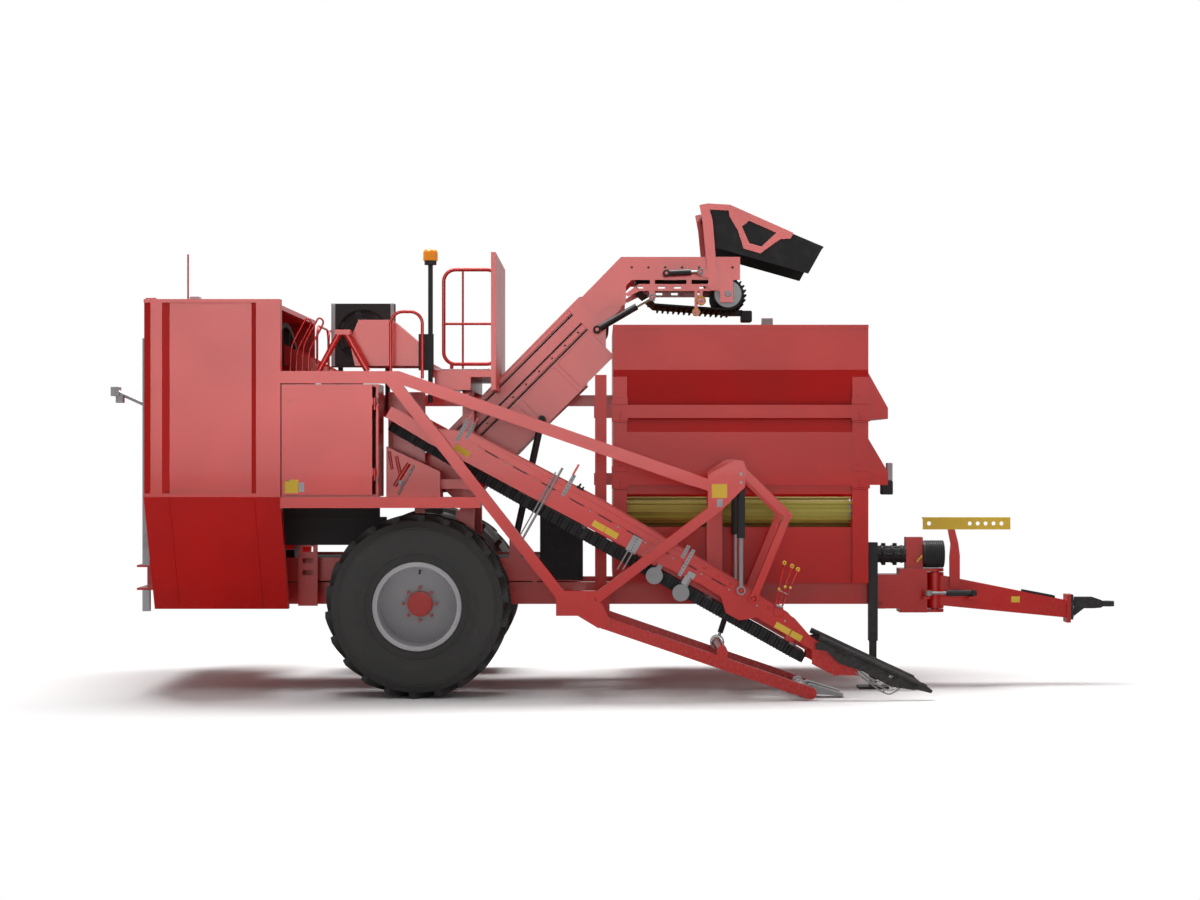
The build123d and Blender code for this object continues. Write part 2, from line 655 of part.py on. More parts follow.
with BuildPart() as boom_trough:
    for y_span in ((boom_span[0], boom_span[0] + 8), (boom_span[1] - 8, boom_span[1])):
        add(plate(boom_outline, *y_span))
        add(plate(((130, 3400), (230, 3450), (930, 3450), (930, 3350), (1046, 3350),
                   (1046, 3560), (900, 3560), (900, 3510), (220, 3510), (100, 3420)), *y_span))
        for x in (340, 660):
            add(block((x - 22, x + 22), y_span, (3500, 3560)))
        add(block((312, 362), y_span, (3360, 3460)))
        for x in (230, 420, 560, 780):
            with Locations((x, sum(y_span) / 2, 3480)):
                Box(60, 30, 20, mode=Mode.SUBTRACT)
        add(across(boom_pivot, y_span[0] - 1, y_span[1] + 1, 20 + pin_gap), mode=Mode.SUBTRACT)
    for point, roller in (((765, 3362), 34), ((722, 3262), 30)):
        add(block((point[0] - 14, point[0] + 14), (boom_span[0], boom_span[0] + 8),
                  (point[1], 3470)))
        add(across(point, boom_span[0] - 30, boom_span[0] + 8, roller))
    for point in ((130, 3700), (1050, 3700)):
        add(across(point, *boom_span, 20))
    add(across((1001, 3424), *boom_span, 25))
    for y_span in ((boom_span[0] - 40, boom_span[0]), (boom_span[1], boom_span[1] + 40)):
        add(across(spout_pivot, *y_span, 18))
    add(across(boom_cyl_eye, boom_cyl_y - 34, boom_span[0], 13))
    add(across(spout_cyl_pin, boom_cyl_y - 30, boom_span[0], 13))
save(boom_trough.part, "boom_trough")

with BuildPart() as boom_web:
    inside = (boom_span[0] + 20, boom_span[1] - 20)
    with BuildSketch(Plane.XZ.offset(-inside[1])):
        with BuildLine() as route:
            top = Line((190, 3564), (1001, 3564))
            ThreePointArc((1001, 3564), (1141, 3424), (1001, 3284))
            Polyline((1001, 3284), (360, 3330), (190, 3480), (190, 3564))
        make_face()
        offset(amount=-14, kind=Kind.INTERSECTION, mode=Mode.SUBTRACT)
    extrude(amount=inside[1] - inside[0])
    add(across((1001, 3424), *inside, 126.5, 25.3))
save(boom_web.part, "boom_web")

save(barrel(boom_cyl_pin, boom_cyl_eye, boom_cyl_y, 30, 400, 34, 15 + pin_gap, 16.5),
     "boom_barrel")
save(piston(boom_cyl_pin, boom_cyl_eye, boom_cyl_y, 16, 200, 30, 18, 28), "boom_rod")

# ---------------------------------------------------------------------------- spout
arm_near = (boom_span[0] - 33, boom_span[0] - 13)
arm_far = (boom_span[1] + 13, boom_span[1] + 33)
arm_outline = ((835, 3500), (845, 3465), (895, 3465), (910, 3500), (865, 4060), (823, 4210),
               (750, 4195), (778, 4050), (818, 3620), (757, 3650), (720, 3612), (760, 3575),
               (822, 3560))

with BuildPart() as spout_arms:
    for y_span in (arm_near, arm_far):
        add(plate(arm_outline, *y_span))
        add(across(spout_pivot, *y_span, 48))
        add(across(spout_pivot, y_span[0] - 1, y_span[1] + 1, 18 + pin_gap),
            mode=Mode.SUBTRACT)
    frame_ring = ((760, 4200), (823, 4212), (1019, 4200), (1570, 3955), (1546, 3905),
                  (1455, 3900), (1281, 3775), (1135, 3818), (1085, 3975), (1012, 4100),
                  (1005, 4150), (800, 4160))
    frame_hole = ((1120, 4010), (1185, 4060), (1420, 3955), (1290, 3835), (1185, 3865))
    for y_span in ((arm_near[1] - 8, arm_near[1]), (arm_far[0], arm_far[0] + 8)):
        add(plate(frame_ring, *y_span))
        add(plate(frame_hole, y_span[0] - 1, y_span[1] + 1), mode=Mode.SUBTRACT)
    add(across((800, 4150), arm_near[0], arm_far[1], 20))
    add(across(spout_cyl_eye, boom_cyl_y - 30, arm_near[1], 13))
save(spout_arms.part, "spout_arms")

with BuildPart() as spout_hood:
    sheet = 5.0
    side_outline = ((835, 4180), (1019, 4180), (1831, 3834), (1700, 3599), (866, 3834))
    for y_span in ((arm_near[1], arm_near[1] + sheet), (arm_far[0] - sheet, arm_far[0])):
        add(plate(side_outline, *y_span))
    add(plate(((840, 4168), (1017, 4168), (1829, 3822), (1835, 3834), (1020, 4180),
               (840, 4180)), arm_near[1], arm_far[0]))
save(spout_hood.part, "spout_hood")

save(barrel(spout_cyl_pin, spout_cyl_eye, boom_cyl_y, 26, 215, 30, 13 + pin_gap, 13.5),
     "spout_barrel")
save(piston(spout_cyl_pin, spout_cyl_eye, boom_cyl_y, 13, 100, 28, 18, 25), "spout_rod")

# --------------------------------------------------------------------------- bunker
rib_spans = ((2337.0, 2449.0), (1759.0, 1862.0))
rib_depth = 40.0

with BuildPart() as bunker:
    add(block((bunker_rear, bunker_front), (bunker_right, bunker_left),
              (bunker_bottom, bunker_top)))
    add(block((bunker_rear + bunker_wall, bunker_front - bunker_wall),
              (bunker_right - 1, bunker_left - bunker_wall), (bunker_floor, bunker_top + 5)),
        mode=Mode.SUBTRACT)
    add(block((bunker_rear + bunker_wall, bunker_front - bunker_wall),
              (bunker_right + bunker_wall, bunker_left - bunker_wall),
              (bunker_bottom - 5, bunker_floor - bunker_wall)), mode=Mode.SUBTRACT)
    # folded wall on the lifting unit's side
    fold = ((-rib_depth, bunker_top), (-rib_depth, 2752), (0, 2449), (0, 2337), (-25, 2216),
            (-25, 1862), (0, 1759), (0, 1681))
    wall_outline = [(bunker_right + y, z) for y, z in fold]
    wall_outline += [(y + bunker_wall, z) for y, z in reversed(wall_outline)]
    with BuildSketch(Plane.YZ.offset(bunker_rear + 1)):
        with BuildLine():
            Polyline(*wall_outline, close=True)
        make_face()
    extrude(amount=bunker_front - bunker_rear - 2)
    # rolled edge round the top
    add(block((bunker_rear, bunker_front), (bunker_right - rib_depth - 8, bunker_right),
              (bunker_top - 34, bunker_top)))
    for z_span in rib_spans:
        add(block((bunker_rear, bunker_front), (bunker_right - rib_depth, bunker_right), z_span))
        add(block((bunker_rear, bunker_front), (bunker_left, half_width), z_span))
        # hooks where the ribs meet the corner posts
        for x_span in ((bunker_rear - 12, 122), (2052, bunker_front + 12)):
            add(block(x_span, (bunker_right - rib_depth, bunker_right + 5),
                      (z_span[0] - 30, z_span[1] + 60)))
    for x_span in ((bunker_rear, 116), (2058, bunker_front)):
        add(block(x_span, (bunker_right - 32, bunker_right + 5), (bunker_bottom, 2752)))
    for x_span in ((550, 620), (1260, 1330)):
        add(block(x_span, (bunker_left, bunker_left + 30), (bunker_bottom, bunker_top)))
    for low, high, top in ((2329, 2424, 2734), (1759, 1871, 2165)):
        add(plate(((bunker_front, low), (2369, low), (2369, high), (bunker_front, top)),
                  bunker_right, bunker_left))
    # rear mast clamped to the ribs
    add(block((-160, -60), (bunker_right - 60, bunker_right + 40), (840, 2708)))
    for z_span in rib_spans:
        add(block((-169, bunker_rear), (bunker_right, bunker_right + 40), z_span))
save(bunker.part, "bunker")

with BuildPart() as floor_conveyor:
    roller_y = bunker_right + 125
    add(bar((73, roller_y, floor_roller_z), (2058, roller_y, floor_roller_z),
            floor_roller_radius - 12))
    with BuildSketch(Plane.YZ.offset(73)):
        with Locations((roller_y, floor_roller_z)):
            with PolarLocations(floor_roller_radius - 10, 10):
                Rectangle(20, 26)
    extrude(amount=2058 - 73)
    add(bar((bunker_rear + bunker_wall, roller_y, floor_roller_z),
            (bunker_front - bunker_wall, roller_y, floor_roller_z), 30))
    add(block((73, 2058), (roller_y, bunker_left - 70), (1396, 1430)))
    for index in range(9):
        y = roller_y + 170 + index * 170
        add(block((73, 2058), (y, y + 20), (1429, 1448)))
save(floor_conveyor.part, "floor_conveyor")

# ------------------------------------------------------------------ drive and jack
with BuildPart() as pto_line:
    add(bar((chassis_front + 2, 0, pto_z), (2900, 0, pto_z), 30))
    add(bar((2335, 0, pto_z), (2593, 0, pto_z), 75))
    add(bar((2744, 0, pto_z), (2931, 0, pto_z), 120))
    add(bar((2760, 0, pto_z), (2932, 0, pto_z), 106, pto_stub_radius), mode=Mode.SUBTRACT)
save(pto_line.part, "pto_line")

with BuildPart() as jack_tube:
    half = jack_size / 2
    add(block((jack_x - half, jack_x + half), (jack_y - half, jack_y + half), (412, 1262)))
    inner = jack_leg_size / 2 + 0.5
    add(block((jack_x - inner, jack_x + inner), (jack_y - inner, jack_y + inner), (400, 1240)),
        mode=Mode.SUBTRACT)
save(jack_tube.part, "jack_tube")

with BuildPart() as jack_leg:
    half = jack_leg_size / 2
    add(block((jack_x - half, jack_x + half), (jack_y - half, jack_y + half), (15, 850)))
    add(block((jack_x - 130, jack_x + 130), (jack_y - 100, jack_y + 100), (0, 20)))
save(jack_leg.part, "jack_leg")

# -------------------------------------------------------------------------- drawbar
beam_half = 65.0

with BuildPart() as drawbar_beam:
    add(bar((hinge_x, 0, sleeve_low), (hinge_x, 0, sleeve_high), 75))
    add(plate(((hinge_x + 20, 950), (2913, 950), (eye_x - 364, 728), (eye_x - 373, 577), (2913, 684),
               (hinge_x + 20, 684)), -beam_half, beam_half))
    add(bar((hinge_x, 0, sleeve_low - 1), (hinge_x, 0, sleeve_high + 1), hinge_pin + pin_gap),
        mode=Mode.SUBTRACT)
    add(block((eye_x - 373, eye_x - 338), (-80, 80), (533, 781)))
    add(block((3162 - 45, 3162 + 45), (steer_y - 40, -60), (steer_z - 50, steer_z - 30)))
    add(bar((3162, steer_y, steer_z - 50), (3162, steer_y, steer_z + 34), 13))
save(drawbar_beam.part, "drawbar_beam")

with BuildPart() as tow_eye:
    add(block((eye_x - 338, eye_x - 316), (-80, 80), (560, 781)))
    add(plate(((eye_x - 318, 757), (eye_x - 133, 757), (eye_x - 62, eye_z + 35), (eye_x - 40, eye_z + 22),
               (eye_x - 40, eye_z - 22), (eye_x - 62, eye_z - 35), (eye_x - 133, 657),
               (eye_x - 213, 657),
               (eye_x - 318, 575)), -38, 38))
    add(bar((eye_x, 0, eye_z - 22.5), (eye_x, 0, eye_z + 22.5), eye_outer))
    add(bar((eye_x, 0, eye_z - 60), (eye_x, 0, eye_z + 60), eye_bore), mode=Mode.SUBTRACT)
save(tow_eye.part, "tow_eye")

rack_side = -beam_half - 40
with BuildPart() as rack_post:
    add(plate(((2975, 840), (3064, 840), (3064, 1130), (3050, 1240), (3020, 1359), (2960, 1359),
               (2985, 1230), (2975, 1120)), rack_side, -beam_half))
    add(block((2760, 3500), (rack_side, rack_side + 22), (1359, 1381)))
save(rack_post.part, "rack_post")

with BuildPart() as hose_rack:
    add(block((2735, 3508), (rack_side - 12, rack_side), (1359, 1466)))
    add(block((2735, 3508), (rack_side, rack_side + 55), (1454, 1466)))
    for x in (2790, 3150, 3220, 3290, 3360, 3430):
        add(across((x, 1412), rack_side - 20, rack_side + 5, 18), mode=Mode.SUBTRACT)
save(hose_rack.part, "hose_rack")


def flat_barrel(start_x, end_x, y, z, radius, length, eye_radius, bore, rod_bore):
    """Barrel of a cylinder that lies level along the machine, its pins upright."""
    way = 1 if end_x > start_x else -1
    with BuildPart() as body:
        add(bar((start_x, y, z - radius + 4), (start_x, y, z + radius - 4), eye_radius))
        add(bar((start_x + way * (eye_radius - 6), y, z), (start_x + way * length, y, z),
                radius))
        add(bar((start_x, y, z - radius), (start_x, y, z + radius), bore), mode=Mode.SUBTRACT)
        add(bar((start_x + way * (eye_radius + 20), y, z), (start_x + way * (length + 5), y, z),
                rod_bore), mode=Mode.SUBTRACT)
    return body.part


save(flat_barrel(3162, steer_pin_x, steer_y, steer_z, 28, 240, 30, 13 + pin_gap, 14.5),
     "steer_barrel")
with BuildPart() as steer_rod:
    add(bar((3050, steer_y, steer_z), (steer_pin_x + 20, steer_y, steer_z), 14))
    add(bar((steer_pin_x, steer_y, steer_z - 22), (steer_pin_x, steer_y, steer_z + 22), 33))
    add(bar((steer_pin_x, steer_y, steer_z - 30), (steer_pin_x, steer_y, steer_z + 30), 21),
        mode=Mode.SUBTRACT)
save(steer_rod.part, "steer_rod")

# ---------------------------------------------------------------------- lifting unit
along = Vector(cos(radians(lift_angle)), 0, -sin(radians(lift_angle)))
square = Vector(sin(radians(lift_angle)), 0, cos(radians(lift_angle)))


def on_arm(u, v, y=0.0):
    """Machine point at a place along and square to the lifting arm."""
    place = Vector(lift_pivot[0], y, lift_pivot[1]) + along * u + square * v
    return (place.X, place.Y, place.Z)


def arm_plate(outline, y_low, y_high):
    """Sheet cut to an outline along the lifting arm."""
    with BuildPart() as sheet:
        with BuildSketch(Plane(origin=on_arm(0, 0, y_high), x_dir=along, z_dir=(0, -1, 0))):
            with BuildLine():
                Polyline(*outline, close=True)
            make_face()
        extrude(amount=y_high - y_low)
    return sheet.part


lift_eye = (1043.0, 905.0)
lift_pin = (apex_x, 1790.0)
guide_pin = (apex_x, 1900.0)
guide_elbow = (1427.0, 1524.0)
guide_eye = (1146.0, 839.0)
strut_pin = (981.0, 699.0)
share_tube = (888.0, 414.0)
strut_y = far_plate[1] + 39

lifter_outline = ((-480, 20), (-116, 20), (190, 155), (1400, 195), (2790, 160), (3280, 130),
                  (3483, 58), (3940, 10), (3983, -20), (3835, -94), (3803, -122),
                  (3588, -129), (3531, -28), (3000, -20), (2890, -110), (2760, -110),
                  (2660, -15), (2460, -7), (1909, -42), (976, -65), (226, -81), (-51, -94),
                  (-480, -82))

row_low, row_high = near_plate[1] + 28, far_plate[0] - 20
row_width = (row_high - row_low - belt_gap) / 2
belt_rows = ((row_low, row_low + row_width), (row_high - row_width, row_high))
row_middles = [(low + high) / 2 for low, high in belt_rows]

with BuildPart() as lifter_frame:
    for y_span in (near_plate, far_plate):
        add(arm_plate(lifter_outline, *y_span))
    for y_span in ((near_plate[0], near_plate[0] + 40), (far_plate[1] - 40, far_plate[1])):
        add(across(lift_pivot, *y_span, 55))
    for u in (-440, 700, 2000, 3300):
        add(arm_plate(((u, -60), (u + 60, -60), (u + 60, 0), (u, 0)), near_plate[0],
                      far_plate[1]))
    for middle in row_middles:
        y_span = (middle - 40, middle + 40)
        add(arm_plate(((-450, -60), (3510, -60), (3510, 0), (-450, 0)), *y_span))
    for y_span in ((near_plate[0] - 2, near_plate[0] + 45), (far_plate[1] - 45, far_plate[1] + 2)):
        add(across(lift_pivot, *y_span, lift_shaft + pin_gap), mode=Mode.SUBTRACT)
    for point, radius in ((lift_eye, 16), (guide_eye, 12)):
        add(across(point, near_cylinder_y - 36, near_plate[1], radius))
        add(across(point, far_plate[0], far_cylinder_y + 34, radius))
    add(across(strut_pin, far_plate[0], strut_y + 30, 13))
save(lifter_frame.part, "lifter_frame")

belt_middle = (belt_upper + belt_lower) / 2

with BuildPart() as lifter_belts:
    for low, high in belt_rows:
        straight = belt_lower - belt_upper - row_width
        teeth = int(straight / belt_tooth_pitch)
        turns = int(pi * row_width / 2 / belt_tooth_pitch)
        with BuildSketch(Plane(origin=on_arm(0, -168), x_dir=along, z_dir=square)):
            with Locations((belt_middle, (low + high) / 2)):
                SlotCenterToCenter(straight, row_width - 2 * belt_tooth)
                for index in range(teeth):
                    offset = (index - (teeth - 1) / 2) * belt_tooth_pitch
                    with Locations((offset, 0)):
                        Rectangle(belt_tooth_pitch * 0.45, row_width)
                for end in (-1, 1):
                    for index in range(turns):
                        swing = radians((index + 0.5) * 180 / turns - 90)
                        reach = row_width / 2 - belt_tooth
                        place = (end * (straight / 2 + reach * cos(swing)), reach * sin(swing))
                        with Locations(Location((*place, 0), (0, 0, end * degrees(swing)))):
                            Rectangle(2 * belt_tooth, belt_tooth_pitch * 0.4)
                SlotCenterToCenter(straight, row_width - 2 * belt_thickness - 2 * belt_tooth,
                                   mode=Mode.SUBTRACT)
        extrude(amount=88)
save(lifter_belts.part, "lifter_belts")

wheel = row_width / 2 - belt_thickness - belt_tooth - face_gap

with BuildPart() as lifter_rollers:
    for x, z in ((332, 1022), (551, 880)):
        add(link((x, z), (x + 74, z + 130), near_plate[1], near_plate[1] + 8, 22, ()))
        add(across((x, z), near_plate[1], near_plate[1] + 20, 70))
        add(across((x, z), near_plate[0], near_plate[1], 16))
    for low, high in belt_rows:
        middle = (low + high) / 2
        for u in (belt_upper + (high - low) / 2, belt_lower - (high - low) / 2):
            add(bar(on_arm(u, -168, middle), on_arm(u, -80, middle), wheel))
            add(bar(on_arm(u, -80, middle), on_arm(u, -60, middle), 40))
        for u in (200, 800, 1400, 2000, 2600):
            for y in (low + 52, high - 52):
                add(bar(on_arm(u, -168, y), on_arm(u, -80, y), 25.7))
                add(bar(on_arm(u, -90, y), on_arm(u, -80, middle), 8))
            add(bar(on_arm(u, -80, middle), on_arm(u, -60, middle), 20))
save(lifter_rollers.part, "lifter_rollers")

# each divider is a long round bar over a slotted plate, carried by two pegs
divider_top, divider_tip = (1690.0, 516.0), (2570.0, 104.0)

with BuildPart() as crop_dividers:
    for face, side in ((near_plate[0], -1), (far_plate[1], 1)):
        y = face + side * 34
        y_span = (y - 6, y + 6)
        add(bar((divider_top[0], y, divider_top[1]), (divider_tip[0], y, divider_tip[1]), 24))
        add(plate(((divider_tip[0] - 70, 120), (divider_tip[0] - 30, 143), (2624, 80),
                   (2610, 58), (divider_tip[0] - 120, 98)), y - 20, y + 20))
        add(plate(((1660, 470), (1740, 485), (2560, 96), (2470, 82), (2280, 110), (2050, 235),
                   (1890, 290), (1850, 305), (1750, 405), (1660, 420)), *y_span))
        for x, z in ((1870, 378), (2070, 284), (2270, 190)):
            add(plate(((x - 50, z + 20), (x + 42, z - 23), (x + 50, z - 8), (x - 42, z + 35)),
                      y_span[0] - 1, y_span[1] + 1), mode=Mode.SUBTRACT)
        for x, z in ((1690, 446), (1878, 318)):
            add(across((x, z), *sorted((face, y)), 13))
save(crop_dividers.part, "crop_dividers")

with BuildPart() as lift_barrels:
    for y in (near_cylinder_y, far_cylinder_y):
        add(barrel(lift_pin, lift_eye, y, 34, 453, 38, 20 + pin_gap, 19.5))
save(lift_barrels.part, "lift_barrels")
with BuildPart() as lift_rods:
    for y in (near_cylinder_y, far_cylinder_y):
        add(piston(lift_pin, lift_eye, y, 19, 340, 37, 24, 30))
save(lift_rods.part, "lift_rods")

with BuildPart() as guide_arms:
    for y in (near_cylinder_y, far_cylinder_y):
        for y_span in ((y - 27, y - 15), (y + 15, y + 27)):
            add(link(guide_pin, guide_elbow, *y_span, 34,
                     ((guide_pin, 20 + pin_gap), (guide_elbow, 16 + pin_gap))))
        add(across(guide_pin, y - 27, y + 27, 34, 20 + pin_gap))
save(guide_arms.part, "guide_arms")
with BuildPart() as guide_rods:
    for y in (near_cylinder_y, far_cylinder_y):
        add(link(guide_elbow, guide_eye, y - 13, y + 13, 30, ()))
        add(across(guide_eye, y - 13, y + 13, 37))
        add(across(guide_eye, y - 14, y + 14, 26), mode=Mode.SUBTRACT)
        add(across(guide_elbow, y - 27, y + 27, 16))
save(guide_rods.part, "guide_rods")

# ---------------------------------------------------------------------------- share
share_end = (1613.0, 60.0)
lifter_mid = (near_plate[0] + far_plate[1]) / 2

with BuildPart() as share_arms:
    for y_span in (share_near_y, share_far_y):
        add(link(share_pivot, share_end, *y_span, share_height / 2,
                 ((share_pivot, 20 + pin_gap),)))
        add(block((share_tube[0] - 45, share_tube[0] + 45), y_span, (290, share_tube[1])))
    add(across(share_tube, share_near_y[0], share_far_y[1], 40))
    add(across((1560, 90), share_near_y[0], share_far_y[1], 30))
save(share_arms.part, "share_arms")

with BuildPart() as share_blades:
    blade = ((1590, 95), (1640, 110), (1909, 30), (1900, share_tip_z), (1640, 40), (1594, 60))
    for y_span in ((lifter_mid - 200, lifter_mid - 80), (lifter_mid + 80, lifter_mid + 200)):
        add(plate(blade, *y_span))
        add(across((1560, 90), *y_span, 52, 30.3))
save(share_blades.part, "share_blades")

save(barrel(strut_pin, share_tube, strut_y, 24, 215, 30, 13 + pin_gap, 13.5), "strut_barrel")
save(piston(strut_pin, share_tube, strut_y, 13, 70, 62, 48, 22), "strut_rod")

# --------------------------------------------------------------------------- wheels
for side, name in ((-1, "right"), (1, "left")):
    centre = side * track / 2
    with BuildPart() as tyre:
        with BuildSketch(Plane.XY):
            with BuildLine():
                Polyline((-250, 343.3), (250, 343.3), (262, 400), (325, 520), (318, 640),
                         (280, 712), (120, 724), (-120, 724), (-280, 712), (-318, 640),
                         (-325, 520), (-262, 400), close=True)
            make_face()
        revolve(axis=Axis.X)
        for index in range(lug_count):
            for half in (-1, 1):
                turn = 360 / lug_count * (index + (0.25 if half > 0 else -0.25))
                with Locations(Location((0, 0, 0), (turn, 0, 0))):
                    with Locations(Location((half * 160, 0, 735), (0, 0, half * -40))):
                        Box(300, 60, 70)
        add(bar((-400, 0, 0), (400, 0, 0), tyre_radius), mode=Mode.INTERSECT)
    turned = tyre.part.moved(Location((axle_x, centre, tyre_radius), (0, 0, 90)))
    save(turned, f"tyre_{name}")

    with BuildPart() as rim:
        y_of = lambda offset: centre + side * offset
        add(bar((axle_x, centre - 265, tyre_radius), (axle_x, centre + 265, tyre_radius), 343,
                331))
        for offset_y in (-265.3, 253.3):
            add(bar((axle_x, centre + offset_y, tyre_radius),
                    (axle_x, centre + offset_y + 12, tyre_radius), rim_radius, 335))
        add(bar((axle_x, y_of(-93), tyre_radius), (axle_x, y_of(-77), tyre_radius), 340, 100))
    save(rim.part, f"rim_{name}")

    with BuildPart() as hub:
        add(bar((axle_x, y_of(-170), tyre_radius), (axle_x, y_of(-93), tyre_radius), 90))
        add(bar((axle_x, y_of(-109), tyre_radius), (axle_x, y_of(-93), tyre_radius), 165))
        add(bar((axle_x, y_of(-93), tyre_radius), (axle_x, y_of(-30), tyre_radius), 99.7))
        add(bar((axle_x, y_of(-77), tyre_radius), (axle_x, y_of(-60), tyre_radius), hub_radius))
        add(bar((axle_x, y_of(-171), tyre_radius), (axle_x, y_of(-60), tyre_radius),
                stub_radius + pin_gap), mode=Mode.SUBTRACT)
        for index in range(stud_count):
            turn = radians(360 / stud_count * index)
            place = (axle_x + stud_circle * cos(turn), tyre_radius + stud_circle * sin(turn))
            add(bar((place[0], y_of(-77), place[1]), (place[0], y_of(-47), place[1]), 12))
    save(hub.part, f"hub_{name}")
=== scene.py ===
"""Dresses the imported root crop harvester: its finishes, fittings, floor, lamps and camera."""
import json
import logging
import math
from dataclasses import dataclass, field
from enum import Enum
from typing import Iterable, Sequence

import bpy
from mathutils import Matrix, Vector

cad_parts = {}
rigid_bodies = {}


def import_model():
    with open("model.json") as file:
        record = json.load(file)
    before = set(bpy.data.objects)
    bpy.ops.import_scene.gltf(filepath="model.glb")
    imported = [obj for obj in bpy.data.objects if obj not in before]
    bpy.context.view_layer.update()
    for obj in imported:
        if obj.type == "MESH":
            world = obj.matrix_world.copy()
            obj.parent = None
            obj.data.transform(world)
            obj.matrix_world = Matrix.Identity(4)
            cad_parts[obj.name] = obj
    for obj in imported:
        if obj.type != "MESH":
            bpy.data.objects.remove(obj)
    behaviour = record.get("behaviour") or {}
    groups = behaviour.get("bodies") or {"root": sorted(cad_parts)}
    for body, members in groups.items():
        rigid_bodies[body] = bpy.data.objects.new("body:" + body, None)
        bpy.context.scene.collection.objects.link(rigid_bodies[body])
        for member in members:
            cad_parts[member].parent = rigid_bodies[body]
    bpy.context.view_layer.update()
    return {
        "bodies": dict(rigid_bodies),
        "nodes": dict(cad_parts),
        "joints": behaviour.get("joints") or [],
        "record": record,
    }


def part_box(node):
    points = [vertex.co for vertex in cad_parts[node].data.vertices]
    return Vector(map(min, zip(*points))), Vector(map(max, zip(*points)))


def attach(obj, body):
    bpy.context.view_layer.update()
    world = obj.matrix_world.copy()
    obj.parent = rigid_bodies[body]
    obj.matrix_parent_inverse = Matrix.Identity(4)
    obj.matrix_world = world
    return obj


LOG = logging.getLogger("harvester")

Piece = bpy.types.Object
Pair = tuple[float, float]
Point = tuple[float, float, float]
Colour = tuple[float, float, float]
Row = tuple[float, ...]
Table = tuple[Row, ...]


# ------------------------------------------------------------------ shader maths
class Sock:
    """A shader socket that takes part in Python sums."""

    def __init__(self, tree: bpy.types.NodeTree, link: bpy.types.NodeSocket) -> None:
        """Wraps one output socket of a tree."""
        self.tree = tree
        self.link = link

    def _sum(self, operation: str, first: object, second: object) -> "Sock":
        """Adds a Math node.

        Args:
            operation: The node's operation.
            first: Its first value, a number or a socket.
            second: Its second value, a number or a socket.

        Returns:
            The node's result.
        """
        node = self.tree.nodes.new("ShaderNodeMath")
        node.operation = operation
        for socket, value in zip(node.inputs, (first, second)):
            if isinstance(value, Sock):
                self.tree.links.new(value.link, socket)
            else:
                socket.default_value = value
        return Sock(self.tree, node.outputs[0])

    def __add__(self, other: object) -> "Sock":
        """Socket plus a value."""
        return self._sum("ADD", self, other)

    def __sub__(self, other: object) -> "Sock":
        """Socket minus a value."""
        return self._sum("SUBTRACT", self, other)

    def __rsub__(self, other: object) -> "Sock":
        """A value minus the socket."""
        return self._sum("SUBTRACT", other, self)

    def __mul__(self, other: object) -> "Sock":
        """Socket times a value."""
        return self._sum("MULTIPLY", self, other)

    __radd__ = __add__
    __rmul__ = __mul__

    def clamp(self) -> "Sock":
        """The socket held between 0 and 1."""
        return self._sum("MINIMUM", self._sum("MAXIMUM", self, 0.0), 1.0)


class Graph:
    """A node tree under construction, started empty."""

    def __init__(self, tree: bpy.types.NodeTree) -> None:
        """Takes a tree and clears it."""
        self.tree = tree
        self.tree.nodes.clear()

    def node(self, kind: str, settings: dict[str, object] | None = None,
             output: int | str = 0, **values: object) -> Sock | None:
        """Adds any node.

        Args:
            kind: The node's type.
            settings: Properties of the node, such as a ramp's stops, set before its sockets.
            output: Which of its outputs to return, by place or name.
            values: Sockets by identifier, or by name with _ for a space, each as a number, a
                colour, a vector or another node's socket.

        Returns:
            The chosen output, or None from a node that has none.
        """
        made = self.tree.nodes.new(kind)
        for key, value in (settings or {}).items():
            if key == "stops":
                self._stops(made.color_ramp.elements, value)
            else:
                setattr(made, key, value)
        for key, value in values.items():
            self._plug(made, key, value)
        return Sock(self.tree, made.outputs[output]) if made.outputs else None

    def _stops(self, ramp: bpy.types.ColorRampElements, stops: Table) -> None:
        """Places the grey stops of a ramp.

        Args:
            ramp: The ramp's elements.
            stops: Position and shade of each stop.
        """
        for index, (position, shade) in enumerate(stops):
            stop = ramp[index] if index < len(ramp) else ramp.new(position)
            stop.position = position
            stop.color = (shade, shade, shade, 1.0)

    def _plug(self, made: bpy.types.Node, key: str, value: object) -> None:
        """Sets or links one input socket.

        Args:
            made: The node.
            key: The socket's identifier, or its name with _ for a space.
            value: A number, a colour, a vector or another node's socket.
        """
        socket = next(entry for entry in made.inputs
                      if key in (entry.identifier, entry.name.replace(" ", "_")))
        if isinstance(value, Sock):
            self.tree.links.new(value.link, socket)
        elif isinstance(value, tuple) and len(value) < len(socket.default_value):
            socket.default_value = (*value, 1.0)
        else:
            socket.default_value = value

    def ray(self, kind: str) -> Sock:
        """1 for rays of a kind, such as Camera, and 0 for others."""
        return self.node("ShaderNodeLightPath", output=f"Is {kind} Ray")


